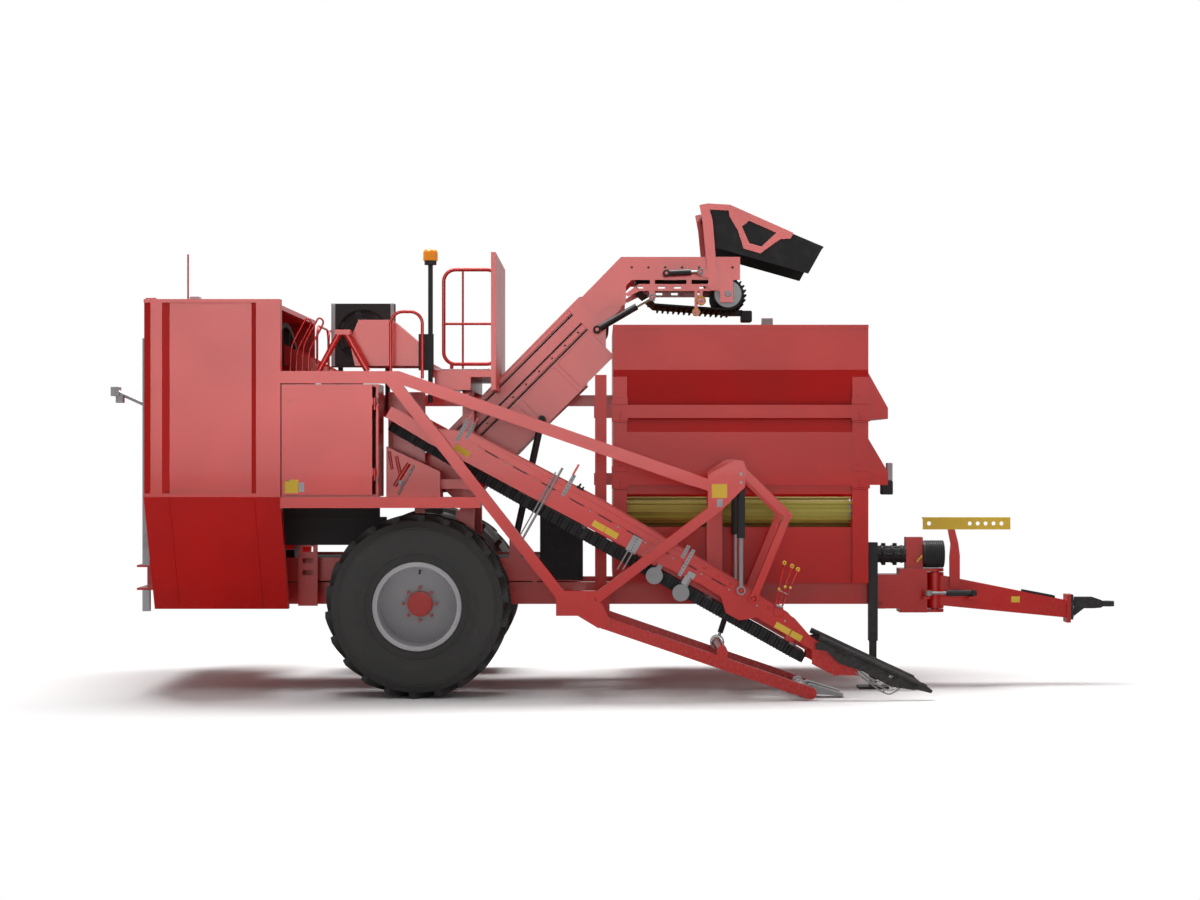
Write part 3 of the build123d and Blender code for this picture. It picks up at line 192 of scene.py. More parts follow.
class Shader(Graph):
    """A material under construction, with one principled shader."""

    def __init__(self, name: str) -> None:
        """Starts a material with its object coordinates.

        Args:
            name: The material's name.
        """
        self.material = bpy.data.materials.new(name)
        self.material.use_nodes = True
        super().__init__(self.material.node_tree)
        self.place = self.node("ShaderNodeTexCoord", output="Object")

    def noise(self, scale: float, detail: float = 3.0, stretch: Point = (1, 1, 1)) -> Sock:
        """Noise from 0 to 1 at a scale in features a metre."""
        spot = self.node("ShaderNodeMapping", Vector=self.place, Scale=stretch)
        return self.node("ShaderNodeTexNoise", Vector=spot, Scale=scale, Detail=detail)

    def ramp(self, value: Sock, low: float, high: float) -> Sock:
        """0 below low, 1 above high and a straight line between."""
        return self.node("ShaderNodeValToRGB", {"stops": ((low, 0.0), (high, 1.0))}, Fac=value)

    def height(self) -> Sock:
        """Height above the ground in metres."""
        return self.node("ShaderNodeSeparateXYZ", output="Z", Vector=self.place)

    def mix(self, factor: Sock, first: Sock | Colour, second: Sock | Colour) -> Sock:
        """Blends two colours by a factor."""
        return self.node("ShaderNodeMix", {"data_type": "RGBA"}, 2, Factor_Float=factor,
                         A_Color=first, B_Color=second)

    def bump(self, height: Sock, strength: float, distance: float) -> Sock:
        """A normal raised by a height."""
        return self.node("ShaderNodeBump", Height=height, Strength=strength, Distance=distance)

    def close(self, white: Sock | None = None, **values: object) -> bpy.types.Material:
        """Ends the material with its principled shader.

        Args:
            white: How far the surface turns into plain white light, where it does.
            values: The shader's sockets by name, with _ for a space.

        Returns:
            The finished material.
        """
        surface = self.node("ShaderNodeBsdfPrincipled", **values)
        if white is not None:
            surface = self.node("ShaderNodeMixShader", Fac=white, Shader=surface,
                                Shader_001=self.node("ShaderNodeEmission"))
        self.node("ShaderNodeOutputMaterial", Surface=surface)
        return self.material


# ---------------------------------------------------------------------- finishes
# In each finish a scale is in features a metre, stops are where a ramp starts and ends, and a
# relief is a bump's strength and depth.
@dataclass(frozen=True)
class Paint:
    """Sprayed paint on steel: slight orange peel, dust low down and dulled patches."""

    name: str
    colour: Colour
    roughness: float = 0.36
    dust: Colour = (0.33, 0.24, 0.18)
    dust_top: float = 1.1
    dust_share: float = 0.07
    dust_dulling: float = 0.9
    sheen: Colour = (1.0, 1.0, 1.0)
    dark_share: float = 0.82
    patch_scale: float = 1.6
    patch_stops: Pair = (0.35, 0.7)
    patch_dulling: float = 0.1
    speck_scale: float = 38.0
    speck_stops: Pair = (0.38, 0.72)
    peel_scale: float = 260.0
    peel_relief: Pair = (0.06, 0.0006)
    coat: float = 0.04

    def build(self) -> bpy.types.Material:
        """Makes the material.

        Returns:
            The finished material.
        """
        shader = Shader(self.name)
        patches = shader.noise(self.patch_scale, 5.0)
        specks = shader.noise(self.speck_scale, 4.0)
        peel = shader.noise(self.peel_scale, 2.0)
        darker = tuple(part * self.dark_share for part in self.colour)
        body = shader.mix(shader.ramp(patches, *self.patch_stops), self.colour, darker)
        low = (1.0 - shader.height() * (1.0 / self.dust_top)).clamp()
        dusty = low * shader.ramp(specks, *self.speck_stops) * self.dust_share
        return shader.close(
            Base_Color=shader.mix(dusty, body, self.dust),
            Roughness=self.roughness + dusty * self.dust_dulling + patches * self.patch_dulling,
            Normal=shader.bump(peel, *self.peel_relief),
            Coat_Weight=self.coat,
            Specular_Tint=self.sheen,
        )


@dataclass(frozen=True)
class Rubber:
    """Moulded rubber: matt, mottled and greyed where soil has dried on it."""

    name: str
    colour: Colour
    soil: Colour = (0.2, 0.17, 0.14)
    soil_share: float = 0.3
    soil_stops: Pair = (0.5, 0.78)
    mottle_scale: float = 9.0
    mottle_dulling: float = 0.2
    grain_scale: float = 140.0
    grain_relief: Pair = (0.25, 0.001)
    roughness: float = 0.72
    gloss: float = 0.35

    def build(self) -> bpy.types.Material:
        """Makes the material.

        Returns:
            The finished material.
        """
        shader = Shader(self.name)
        mottle = shader.noise(self.mottle_scale, 6.0)
        grain = shader.noise(self.grain_scale, 3.0)
        dirty = shader.ramp(mottle, *self.soil_stops) * self.soil_share
        return shader.close(
            Base_Color=shader.mix(dirty, self.colour, self.soil),
            Roughness=self.roughness + mottle * self.mottle_dulling,
            Normal=shader.bump(grain, *self.grain_relief),
            Specular_IOR_Level=self.gloss,
        )


@dataclass(frozen=True)
class Metal:
    """Bare or plated metal: drawn or rolled marks along one way, and a few stains."""

    name: str
    colour: Colour
    roughness: float = 0.3
    metallic: float = 0.9
    along: Point = (40, 4, 40)
    mark_scale: float = 14.0
    mark_dulling: float = 0.12
    marks_relief: Pair = (0.05, 0.0004)
    stain_scale: float = 6.0
    stain_stops: Pair = (0.55, 0.8)
    stain_dulling: float = 0.18
    stain_share: float = 0.7

    def build(self) -> bpy.types.Material:
        """Makes the material.

        Returns:
            The finished material.
        """
        shader = Shader(self.name)
        lines = shader.noise(self.mark_scale, 4.0, self.along)
        stains = shader.ramp(shader.noise(self.stain_scale, 5.0), *self.stain_stops)
        stained = tuple(part * self.stain_share for part in self.colour)
        return shader.close(
            Base_Color=shader.mix(stains, self.colour, stained),
            Metallic=self.metallic,
            Roughness=(self.roughness + stains * self.stain_dulling
                       + lines * self.mark_dulling),
            Normal=shader.bump(lines, *self.marks_relief),
        )


@dataclass(frozen=True)
class Lens:
    """Clear tinted plastic with moulded ribs, the ribs also painted as darker bands of shade."""

    name: str
    colour: Colour
    rib_scale: float = 26.0
    rib_painted_shade: float = 0.75
    rib_dulling: float = 0.08
    ribs_relief: Pair = (0.3, 0.002)
    roughness: float = 0.16
    glow: float = 0.15

    def build(self) -> bpy.types.Material:
        """Makes the material.

        Returns:
            The finished material.
        """
        shader = Shader(self.name)
        ribs = shader.node("ShaderNodeTexWave", {"bands_direction": "Z"}, Vector=shader.place,
                           Scale=self.rib_scale, Distortion=0.0)
        # Darker bands along the ribs: painted shade of the moulding.
        darker = tuple(part * self.rib_painted_shade for part in self.colour)
        return shader.close(
            Base_Color=shader.mix(ribs, self.colour, darker),
            Roughness=self.roughness + ribs * self.rib_dulling,
            Emission_Color=self.colour,
            Emission_Strength=self.glow,
            Normal=shader.bump(ribs, *self.ribs_relief),
        )


class Finish(Enum):
    """The finishes of the machine, each named for its slot in the record."""

    RED = "red_paint"
    RUBBER = "black_rubber"
    TYRE = "tyre_rubber"
    RIM = "grey_rim"
    BLACK = "black_paint"
    STEEL = "steel_rod"
    GREY = "grey_metal"
    YELLOW = "yellow_steel"
    OCHRE = "ochre_plate"
    AMBER = "amber_lens"


RECIPES = {
    Finish.RED: Paint("signal_red_paint", (0.48, 0.003, 0.002), 0.20,
                      sheen=(1.0, 0.55, 0.53)),
    Finish.RUBBER: Rubber("belt_rubber", (0.022, 0.022, 0.024), soil_share=0.12),
    Finish.TYRE: Rubber("tyre_rubber", (0.045, 0.044, 0.043), soil_share=0.06),
    Finish.RIM: Paint("rim_enamel", (0.44, 0.43, 0.45), 0.34, dust_share=0.15),
    Finish.BLACK: Paint("black_enamel", (0.018, 0.018, 0.020), 0.42, dust_share=0.15),
    Finish.STEEL: Metal("bright_steel", (0.50, 0.505, 0.51), 0.25),
    Finish.GREY: Metal("galvanised_steel", (0.50, 0.52, 0.54), 0.45, 0.7, (6, 6, 6)),
    Finish.YELLOW: Paint("olive_yellow_paint", (0.42, 0.36, 0.05), 0.5, dust_top=3.0,
                         dust_share=0.4),
    Finish.OCHRE: Paint("yellow_enamel", (0.72, 0.47, 0.04), 0.4),
    Finish.AMBER: Lens("amber_plastic", (0.90, 0.28, 0.01)),
}


# ------------------------------------------------------------------ mesh helpers
# Angles in degrees: above which an edge is bevelled, and below which a box, a round piece and a
# bent rod are shaded smooth.
SHARP_ANGLE = 35.0
FLAT_ANGLE = 20.0
ROUND_ANGLE = 32.0
BEND_ANGLE = 50.0
# The rounded edge of a thin plate, in metres.
PLATE_EDGE = 0.0012


def clear_selection() -> None:
    """Leaves nothing selected or active."""
    bpy.ops.object.select_all(action="DESELECT")
    bpy.context.view_layer.objects.active = None


def pick(piece: Piece) -> None:
    """Selects one object alone and makes it active.

    Args:
        piece: The object.
    """
    clear_selection()
    piece.select_set(True)
    bpy.context.view_layer.objects.active = piece


def settle(piece: Piece) -> Piece:
    """Moves an object's place into its mesh, so that the object sits at the origin.

    Args:
        piece: The object, placed, turned and scaled.

    Returns:
        The same object.
    """
    pick(piece)
    bpy.ops.object.transform_apply(location=True, rotation=True, scale=True)
    return piece


def round_edges(piece: Piece, width: float, segments: int = 2,
                smooth: float = ROUND_ANGLE) -> None:
    """Bevels the sharp edges of a settled piece and smooths its shading.

    Args:
        piece: The piece.
        width: The bevel's width.
        segments: How many facets the bevel has.
        smooth: The angle in degrees below which an edge is shaded smooth.
    """
    bevel = piece.modifiers.new("edges", "BEVEL")
    bevel.width = width
    bevel.segments = segments
    bevel.limit_method = "ANGLE"
    bevel.angle_limit = math.radians(SHARP_ANGLE)
    pick(piece)
    bpy.ops.object.modifier_apply(modifier=bevel.name)
    bpy.ops.object.shade_smooth_by_angle(angle=math.radians(smooth))


def slab(low: Sequence[float], high: Sequence[float], edge: float = 0.002,
         segments: int = 2) -> Piece:
    """Makes a box with rounded edges and flat faces.

    Args:
        low: Its low corner.
        high: Its high corner.
        edge: The width of its rounded edges.
        segments: How many facets an edge has.

    Returns:
        The settled box.
    """
    clear_selection()
    centre = [(a + b) / 2 for a, b in zip(low, high)]
    bpy.ops.mesh.primitive_cube_add(size=1.0, location=centre)
    piece = bpy.context.object
    piece.scale = [b - a for a, b in zip(low, high)]
    settle(piece)
    round_edges(piece, edge, segments, FLAT_ANGLE)
    return piece


def rod(start: Sequence[float], end: Sequence[float], radius: float, sides: int = 16,
        edge: float = 0.001) -> Piece:
    """Makes a round bar with its rims eased.

    Args:
        start: The centre of one end.
        end: The centre of the other end.
        radius: Its radius.
        sides: How many sides it has.
        edge: The width of its eased rims.

    Returns:
        The settled bar.
    """
    clear_selection()
    run = Vector(end) - Vector(start)
    middle = (Vector(end) + Vector(start)) / 2
    turn = run.to_track_quat("Z", "Y").to_euler()
    bpy.ops.mesh.primitive_cylinder_add(vertices=sides, radius=radius, depth=run.length,
                                        location=middle, rotation=turn)
    piece = settle(bpy.context.object)
    round_edges(piece, edge, 1)
    return piece


def pin(x: float, z: float, span: Pair, radius: float, sides: int = 16,
        edge: float = 0.001) -> Piece:
    """A round bar straight across the machine at a place along it and a height."""
    return rod((x, span[0], z), (x, span[1], z), radius, sides, edge)


def ring(centre: Sequence[float], normal: Sequence[float], radius: float, thick: float,
         around: int = 40, across: int = 10) -> Piece:
    """Makes a round ring of round section.

    Args:
        centre: Its centre.
        normal: The way its axis points.
        radius: From its centre to the middle of its section.
        thick: The radius of its section.
        around: How many sides it has.
        across: How many sides its section has.

    Returns:
        The settled ring.
    """
    clear_selection()
    turn = Vector(normal).to_track_quat("Z", "Y").to_euler()
    bpy.ops.mesh.primitive_torus_add(major_radius=radius, minor_radius=thick, location=centre,
                                     rotation=turn, major_segments=around,
                                     minor_segments=across)
    piece = settle(bpy.context.object)
    bpy.ops.object.shade_smooth()
    return piece


def wire(points: Sequence[Point], radius: float) -> Piece:
    """Makes a bent round rod, smooth at its bends.

    Args:
        points: The control points along it.
        radius: Its radius.

    Returns:
        The settled rod.
    """
    clear_selection()
    curve = bpy.data.curves.new("wire", "CURVE")
    curve.dimensions = "3D"
    curve.resolution_u = 6
    curve.bevel_depth = radius
    curve.bevel_resolution = 2
    curve.use_fill_caps = True
    spline = curve.splines.new("NURBS")
    spline.points.add(len(points) - 1)
    for knot, spot in zip(spline.points, points):
        knot.co = (*spot, 1.0)
    spline.order_u = 3
    spline.use_endpoint_u = True
    piece = bpy.data.objects.new("wire", curve)
    bpy.context.collection.objects.link(piece)
    pick(piece)
    bpy.ops.object.convert(target="MESH")
    bpy.ops.object.shade_smooth_by_angle(angle=math.radians(BEND_ANGLE))
    return bpy.context.object


def hex_bolt(across_flats: float, height: float) -> Piece:
    """Makes a hexagon bolt head on its washer.

    Args:
        across_flats: The size of the head.
        height: How far the head stands out.

    Returns:
        The bolt, seated on the origin and pointing along -Y.
    """
    washer = rod((0, 0.001, 0), (0, -height * 0.3, 0), across_flats * 0.78, 14, 0.0006)
    head = rod((0, 0, 0), (0, -height, 0), across_flats * 0.55, 6, height * 0.16)
    return merge("bolt", (washer, head))


def thin(low: Sequence[float], high: Sequence[float]) -> Piece:
    """A thin plate between two corners."""
    return slab(low, high, PLATE_EDGE)


def merge(name: str, pieces: Iterable[Piece]) -> Piece:
    """Joins pieces into one.

    Args:
        name: The name of the joined piece.
        pieces: One piece or more.

    Returns:
        The joined piece.
    """
    joined = list(pieces)
    clear_selection()
    for piece in joined:
        piece.select_set(True)
    bpy.context.view_layer.objects.active = joined[0]
    if len(joined) > 1:
        bpy.ops.object.join()
    joined[0].name = name
    return joined[0]


def repeat(pattern: Piece, places: Iterable[Matrix]) -> list[Piece]:
    """Copies a settled pattern, each copy with its own mesh, and takes the pattern away.

    Args:
        pattern: The pattern, modelled at the origin.
        places: Where each copy goes.

    Returns:
        The copies.
    """
    copies = []
    for place in places:
        copy = pattern.copy()
        copy.data = pattern.data.copy()
        copy.data.transform(place)
        bpy.context.collection.objects.link(copy)
        copies.append(copy)
    bpy.data.objects.remove(pattern)
    return copies


def shift(x: float, y: float, z: float) -> Matrix:
    """A plain move."""
    return Matrix.Translation((x, y, z))


def slope(origin: Sequence[float], degrees: float) -> Matrix:
    """Turns along-and-square places of a sloping arm into places in the frame."""
    turn = Matrix.Rotation(math.radians(degrees), 4, "Y")
    return shift(origin[0], 0, origin[1]) @ turn


def tilt(piece: Piece, place: Matrix) -> Piece:
    """Moves a settled piece's mesh by a matrix."""
    piece.data.transform(place)
    return piece


def spaced(low: float, high: float, count: int) -> list[float]:
    """Evenly spaced numbers, both ends included."""
    return [low + (high - low) * step / (count - 1) for step in range(count)]


# --------------------------------------------------------------------- assembly
@dataclass
class Workshop:
    """Holds the frame and the finishes, and hands finished pieces over."""

    frame: dict
    materials: dict[Finish, bpy.types.Material] = field(default_factory=dict)
    count: int = 0

    def finish(self, kind: Finish) -> bpy.types.Material:
        """Makes the material of a finish, once.

        Args:
            kind: The finish.

        Returns:
            Its material.
        """
        if kind not in self.materials:
            self.materials[kind] = RECIPES[kind].build()
        return self.materials[kind]

    def fit(self, piece: Piece, body: str, kind: Finish) -> None:
        """Gives a piece its finish, slot and body.

        Args:
            piece: The finished piece.
            body: The body that it rides on.
            kind: Its finish.
        """
        piece.data.materials.clear()
        piece.data.materials.append(self.finish(kind))
        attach(piece, body)
        self.count += 1
        LOG.info("fitted %s on %s", piece.name, body)

    def joint(self, name: str) -> list[float]:
        """The place of a joint's axis, in metres."""
        joints = self.frame["record"]["behaviour"]["joints"]
        return next(joint["pos_m"] for joint in joints if joint["name"] == name)

    def paint_nodes(self) -> None:
        """Gives every CAD node the material of its slot."""
        slots = {part["node"]: part["material_slot"]
                 for part in self.frame["record"]["subparts"]}
        for name, node in self.frame["nodes"].items():
            material = self.finish(Finish(slots[name]))
            node.data.materials.clear()
            node.data.materials.append(material)
            LOG.info("finished %s in %s", name, slots[name])


# ----------------------------------------------------------------- sub-assemblies
@dataclass
class Dress:
    """What every dressed sub-assembly has: the workshop, and the body it rides on."""

    shop: Workshop
    body: str = "chassis"

    def fit(self, name: str, pieces: Iterable[Piece], kind: Finish,
            body: str | None = None) -> None:
        """Joins pieces and hands them over, on the sub-assembly's body or on another."""
        self.shop.fit(merge(name, pieces), body or self.body, kind)

    def face(self, node: str, x: float, z: float, side: int = -1) -> float:
        """Finds where a CAD piece's outermost surface lies across the machine.

        Args:
            node: The CAD piece.
            x: The place along the machine.
            z: The height.
            side: -1 to look from the right side and 1 from the left.

        Returns:
            The surface's Y.
        """
        piece = self.shop.frame["nodes"][node]
        inward = piece.matrix_world.inverted()
        start = inward @ Vector((x, side * 4.0, z))
        way = inward.to_3x3() @ Vector((0, -side, 0))
        spot = piece.ray_cast(start, way)[1]
        return (piece.matrix_world @ spot).y


@dataclass
class Wheels(Dress):
    """Bead rings, sidewall rings and valve stems of both wheels."""

    axle: Pair = (-1.635, 0.762)
    bead_radius: float = 0.362
    bead_thick: float = 0.009
    wall_rings: Row = (0.43, 0.655)
    ring_thick: float = 0.007
    valve_reach: float = 0.285
    valve_length: float = 0.060
    valve_radius: float = 0.006
    cap_length: float = 0.018
    cap_radius: float = 0.009
    valve_lean: float = 0.020
    cap_lean: float = 0.005
    seat: float = 0.004

    def build(self) -> None:
        """Dresses each wheel on its outer side."""
        x, z = self.axle
        for side, label in ((-1, "right"), (1, "left")):
            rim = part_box(f"rim_{label}")
            edge = rim[0][1] if side < 0 else rim[1][1]
            bead = ring((x, edge - side * self.seat, z), (0, 1, 0), self.bead_radius,
                        self.bead_thick, 72, 10)
            self.fit(f"bead_ring_{label}", [bead], Finish.RIM, f"wheel_{label}")
            ribs = [ring((x, self.face(f"tyre_{label}", x, z + radius, side), z), (0, 1, 0),
                         radius, self.ring_thick, 80, 8) for radius in self.wall_rings]
            self.fit(f"tyre_ribs_{label}", ribs, Finish.TYRE, f"wheel_{label}")
            self.valve(label, side)

    def valve(self, label: str, side: int) -> None:
        """Adds a valve stem and its cap, leaning out of the rim.

        Args:
            label: Which wheel, right or left.
            side: -1 on the right side and 1 on the left.
        """
        x, z = self.axle
        top = z + self.valve_reach
        face = self.face(f"rim_{label}", x, top, side)
        tip = (x, face + side * self.valve_length, top - self.valve_lean)
        end = (x, tip[1] + side * self.cap_length, tip[2] - self.cap_lean)
        stem = rod((x, face - side * self.seat, top), tip, self.valve_radius, 12)
        cap = rod(tip, end, self.cap_radius, 12, 0.002)
        self.fit(f"valve_{label}", (stem, cap), Finish.BLACK, f"wheel_{label}")


@dataclass
class Cabinet(Dress):
    """Locks, bare plates and hinge pins of the cabinet door."""

    lock_radius: float = 0.014
    lock_inset: float = 0.048
    lock_margin: float = 0.13
    lock_depth: float = 0.010
    lock_thick: float = 0.004
    barrel_depth: Pair = (0.012, 0.006)
    barrel_radius: float = 0.012
    key_depth: Pair = (0.004, 0.007)
    key_half: Pair = (0.0025, 0.008)
    panel_depth: float = 0.0105
    plate_corner: Pair = (0.022, 0.015)
    plate_size: float = 0.112
    plate_half: float = 0.002
    tag_gap: float = 0.006
    tag_width: float = 0.042
    tag_rise: Pair = (0.010, 0.088)
    pin_radius: float = 0.006
    pin_setback: float = 0.012
    pin_length: float = 0.05
    pin_margins: Pair = (0.10, 0.15)

    def build(self) -> None:
        """Dresses the door and its hinges."""
        low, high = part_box("cabinet_door")
        locks = []
        for z in (high[2] - self.lock_margin, low[2] + self.lock_margin):
            locks.extend(self.lock(low[0] + self.lock_inset, low[1], z))
        self.fit("door_locks", locks, Finish.STEEL, "door")
        self.plates(low)
        x, y = high[0] + self.pin_radius, low[1] + self.pin_setback
        pins = [rod((x, y, z), (x, y, z + self.pin_length), self.pin_radius, 12)
                for z in (low[2] + self.pin_margins[0], high[2] - self.pin_margins[1])]
        self.fit("door_hinge_pins", pins, Finish.STEEL)

    def lock(self, x: float, face: float, z: float) -> list[Piece]:
        """Makes one slotted lock, set into the door.

        Args:
            x: Its place along the machine.
            face: The Y of the door's rim.
            z: Its height.

        Returns:
            Its rim, barrel and slot.
        """
        rim = ring((x, face + self.lock_depth, z), (0, 1, 0), self.lock_radius, self.lock_thick,
                   24, 8)
        start, end = (face + depth for depth in self.barrel_depth)
        barrel = pin(x, z, (start, end), self.barrel_radius, 18)
        front, back = (face + depth for depth in self.key_depth)
        wide, tall = self.key_half
        slot = slab((x - wide, front, z - tall), (x + wide, back, z + tall), 0.0008)
        return [rim, barrel, slot]

    def plates(self, low: Sequence[float]) -> None:
        """Lays the blank yellow plate and the grey tag on the door's panel.

        Args:
            low: The door's low corner.
        """
        panel = low[1] + self.panel_depth
        back, front = panel - self.plate_half, panel + self.plate_half
        x, z = low[0] + self.plate_corner[0], low[2] + self.plate_corner[1]
        plate = thin((x, back, z), (x + self.plate_size, front, z + self.plate_size))
        self.fit("bare_plate_door", [plate], Finish.OCHRE, "door")
        x += self.plate_size + self.tag_gap
        tag = thin((x, back, z + self.tag_rise[0]),
                   (x + self.tag_width, front, z + self.tag_rise[1]))
        self.fit("bare_tag_door", [tag], Finish.GREY, "door")


@dataclass
class LiftingArm(Dress):
    """Rail, bolts, bare plates, adjusters, levers, belt cleats and nose wires of the lifter."""

    body: str = "lifter"
    angle: float = 29.4
    rail: Pair = (0.20, 2.72)
    rail_low: float = 0.088
    rail_high: float = 0.146
    rail_thick: float = 0.005
    rail_bolt: Pair = (0.010, 0.006)
    bolt_drop: float = 0.018
    bolt_margins: Pair = (0.12, 0.5)
    slot_margins: Pair = (0.17, -0.2)
    slot_length: float = 0.13
    slot_drop: Pair = (0.012, 0.003)
    # along, square and length of each bare plate
    blanks: Table = ((0.136, -0.040, 0.140), (1.440, -0.026, 0.112), (1.556, -0.026, 0.118),
                     (3.165, -0.018, 0.138), (3.312, -0.018, 0.100))
    blank_height: float = 0.052
    # along, low, high and width of each bar with holes
    bars: Table = ((0.128, 0.036, 0.246, 0.030), (0.188, 0.090, 0.240, 0.026),
                   (1.114, 0.080, 0.270, 0.034), (1.826, -0.062, 0.078, 0.088),
                   (2.224, 0.108, 0.224, 0.030), (2.276, -0.034, 0.214, 0.030))
    bar_thick: float = 0.007
    hole_pitch: float = 0.028
    hole_margin: float = 0.018
    hole_radius: float = 0.0052
    # along, low, high and radius of each bright rod
    rods: Table = ((1.000, -0.400, 0.272, 0.010), (0.968, -0.395, 0.215, 0.006),
                   (1.806, -0.235, -0.050, 0.007), (1.846, -0.215, -0.050, 0.007))
    rod_out: float = 0.011
    # along and square of the low corner and the high corner, and thickness, of each block
    tension_blocks: Table = ((2.326, -0.004, 2.392, 0.044, 0.010),
                             (2.318, -0.078, 2.362, 0.0, 0.008))
    grips: Table = ((1.094, 0.262, 1.112, 0.362, 0.009), (0.120, 0.240, 0.136, 0.300, 0.009),
                    (0.182, 0.236, 0.196, 0.290, 0.009))
    clamp: Table = ((1.176, 0.186, 1.240, 0.206, 0.009), (1.186, 0.196, 1.204, 0.232, 0.009),
                    (1.222, 0.196, 1.236, 0.222, 0.009))
    knob_run: Pair = (2.43, 3.05)
    knob_top: float = 0.128
    knob_fall: float = 0.006
    knob_radius: float = 0.013
    # x and z of the foot and of the grip of each setting lever
    levers: Table = ((1.323, 0.748, 1.405, 1.118), (1.350, 0.770, 1.468, 1.092),
                     (1.372, 0.742, 1.516, 1.066))
    lever_out: float = 0.016
    lever_radius: float = 0.0075
    ring_lift: float = 0.012
    ring_size: Pair = (0.012, 0.0055)
    collar_run: Pair = (-0.008, 0.004)
    collar_radius: float = 0.008
    stop_share: float = 0.45
    stop_step: float = 0.06
    stop_half: float = 0.010
    stop_radius: float = 0.011
    # x and z of both ends, radius and eased rim of each strap across the levers
    straps: Table = ((1.352, 0.905, 1.438, 0.868, 0.005, 0.001),
                     (1.336, 0.780, 1.392, 0.762, 0.012, 0.002))
    # x and z of the low corner and the high corner, and how far out
    lever_foot: Row = (1.318, 0.690, 1.396, 0.775, 0.009)
    cleat_half: float = 0.005
    cleat_across: Pair = (-0.006, 0.014)
    cleat_square: Pair = (-0.171, -0.074)
    cleat_run: Pair = (-0.31, 3.40)
    cleat_count: int = 124
    wire_inset: float = 0.058
    wire_gap: float = 0.034
    wire_radius: float = 0.006
    # x and z of each bend of a nose wire
    wire_bends: Table = ((1.985, 0.232), (2.090, 0.150), (2.225, 0.052), (2.300, 0.040))
    wire_tip: Pair = (2.400, 0.128)
    # x, low z and high z of the strut between the two wires
    wire_strut: Row = (2.225, 0.062, 0.100)
    place: Matrix = field(init=False)
    near: float = field(init=False)

    def build(self) -> None:
        """Dresses the near side plate of the arm and what it carries."""
        pivot = self.shop.joint("lifter_lift")
        self.place = slope((pivot[0], pivot[2]), self.angle)
        self.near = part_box("lifter_rollers")[0][1]
        self.rail_strip()
        self.bare_plates()
        self.adjusters()
        self.top_knobs()
        self.lever_bank()
        self.nose_wires()
        self.belt_cleats()

    def span(self, low: Sequence[float], high: Sequence[float], thick: float,
             edge: float = 0.0015) -> Piece:
        """Makes a slab on the outside of the near plate.

        Args:
            low: Along and square to the arm, its low corner.
            high: Its high corner.
            thick: How far it stands out.
            edge: The width of its rounded edges.

        Returns:
            The slab in its place.
        """
        piece = slab((low[0], self.near - thick, low[1]), (high[0], self.near + 0.001, high[1]),
                     edge)
        return tilt(piece, self.place)

    def spans(self, table: Table) -> list[Piece]:
        """The slabs of a table of corners and thicknesses."""
        return [self.span((u0, v0), (u1, v1), thick) for u0, v0, u1, v1, thick in table]

    def rail_strip(self) -> None:
        """Adds the folded top rail, its bolts, and thin black strips under it that paint the shade
        of its slots.
        """
        start, end = self.rail
        strip = self.span((start, self.rail_low), (end, self.rail_high), self.rail_thick)
        self.fit("arm_rail", [strip], Finish.RED)
        bolts = [self.place @ shift(u, self.near, self.rail_low - self.bolt_drop)
                 for u in spaced(start + self.bolt_margins[0], end + self.bolt_margins[1], 12)]
        self.fit("arm_bolts", repeat(hex_bolt(*self.rail_bolt), bolts), Finish.GREY)
        # Thin black strips on the plate: painted shade where the slots are.
        low, high = (self.rail_low - drop for drop in self.slot_drop)
        slots = [self.span((u, low), (u + self.slot_length, high), 0.0008, 0.0004)
                 for u in spaced(start + self.slot_margins[0], end + self.slot_margins[1], 9)]
        self.fit("arm_slots", slots, Finish.BLACK)

    def bare_plates(self) -> None:
        """Blank yellow plates on the near side."""
        plates = [self.span((u, v), (u + length, v + self.blank_height), 0.0022, 0.0008)
                  for u, v, length in self.blanks]
        self.fit("bare_plates_arm", plates, Finish.OCHRE)

    def bar_hole_shades(self, u: float, low: float, high: float) -> list[Piece]:
        """Makes the row of holes down one bar, as black discs of painted shade.

        Args:
            u: The bar's place along the arm.
            low: Its low end, square to the arm.
            high: Its high end.

        Returns:
            The holes, as black discs that paint the shade inside them.
        """
        count = max(3, int((high - low) / self.hole_pitch))
        # Black discs just before the bar: painted shade where the holes are.
        front = self.near - self.bar_thick - 0.0004
        return [tilt(pin(u, v, (front, self.near - 0.003), self.hole_radius, 12, 0.0004),
                     self.place)
                for v in spaced(low + self.hole_margin, high - self.hole_margin, count)]

    def adjusters(self) -> None:
        """Adds the depth and tension adjusters: bars with holes painted as black discs of shade,
        blocks and bright rods.
        """
        bars, holes = [], []
        for u, low, high, width in self.bars:
            bars.append(self.span((u - width / 2, low), (u + width / 2, high), self.bar_thick))
            holes.extend(self.bar_hole_shades(u, low, high))
        self.fit("adjuster_bars", bars, Finish.GREY)
        self.fit("adjuster_holes", holes, Finish.BLACK)
        y = self.near - self.rod_out
        rods = [tilt(rod((u, y, low), (u, y, high), radius), self.place)
                for u, low, high, radius in self.rods]
        self.fit("adjuster_rods", rods, Finish.STEEL)
        self.fit("tension_block", self.spans(self.tension_blocks), Finish.GREY)
        self.fit("adjuster_grips", self.spans(self.grips), Finish.RED)
        self.fit("hose_clamp", self.spans(self.clamp), Finish.BLACK)

    def top_knobs(self) -> None:
        """Adds the round-headed bolts along the top of the arm near its lower end."""
        span = (self.near + 0.001, self.near - 0.009)
        knobs = []
        for index, u in enumerate(spaced(*self.knob_run, 6)):
            knob = pin(u, self.knob_top - index * self.knob_fall, span, self.knob_radius, 14,
                       0.004)
            knobs.append(tilt(knob, self.place))
        self.fit("arm_knobs", knobs, Finish.RED)

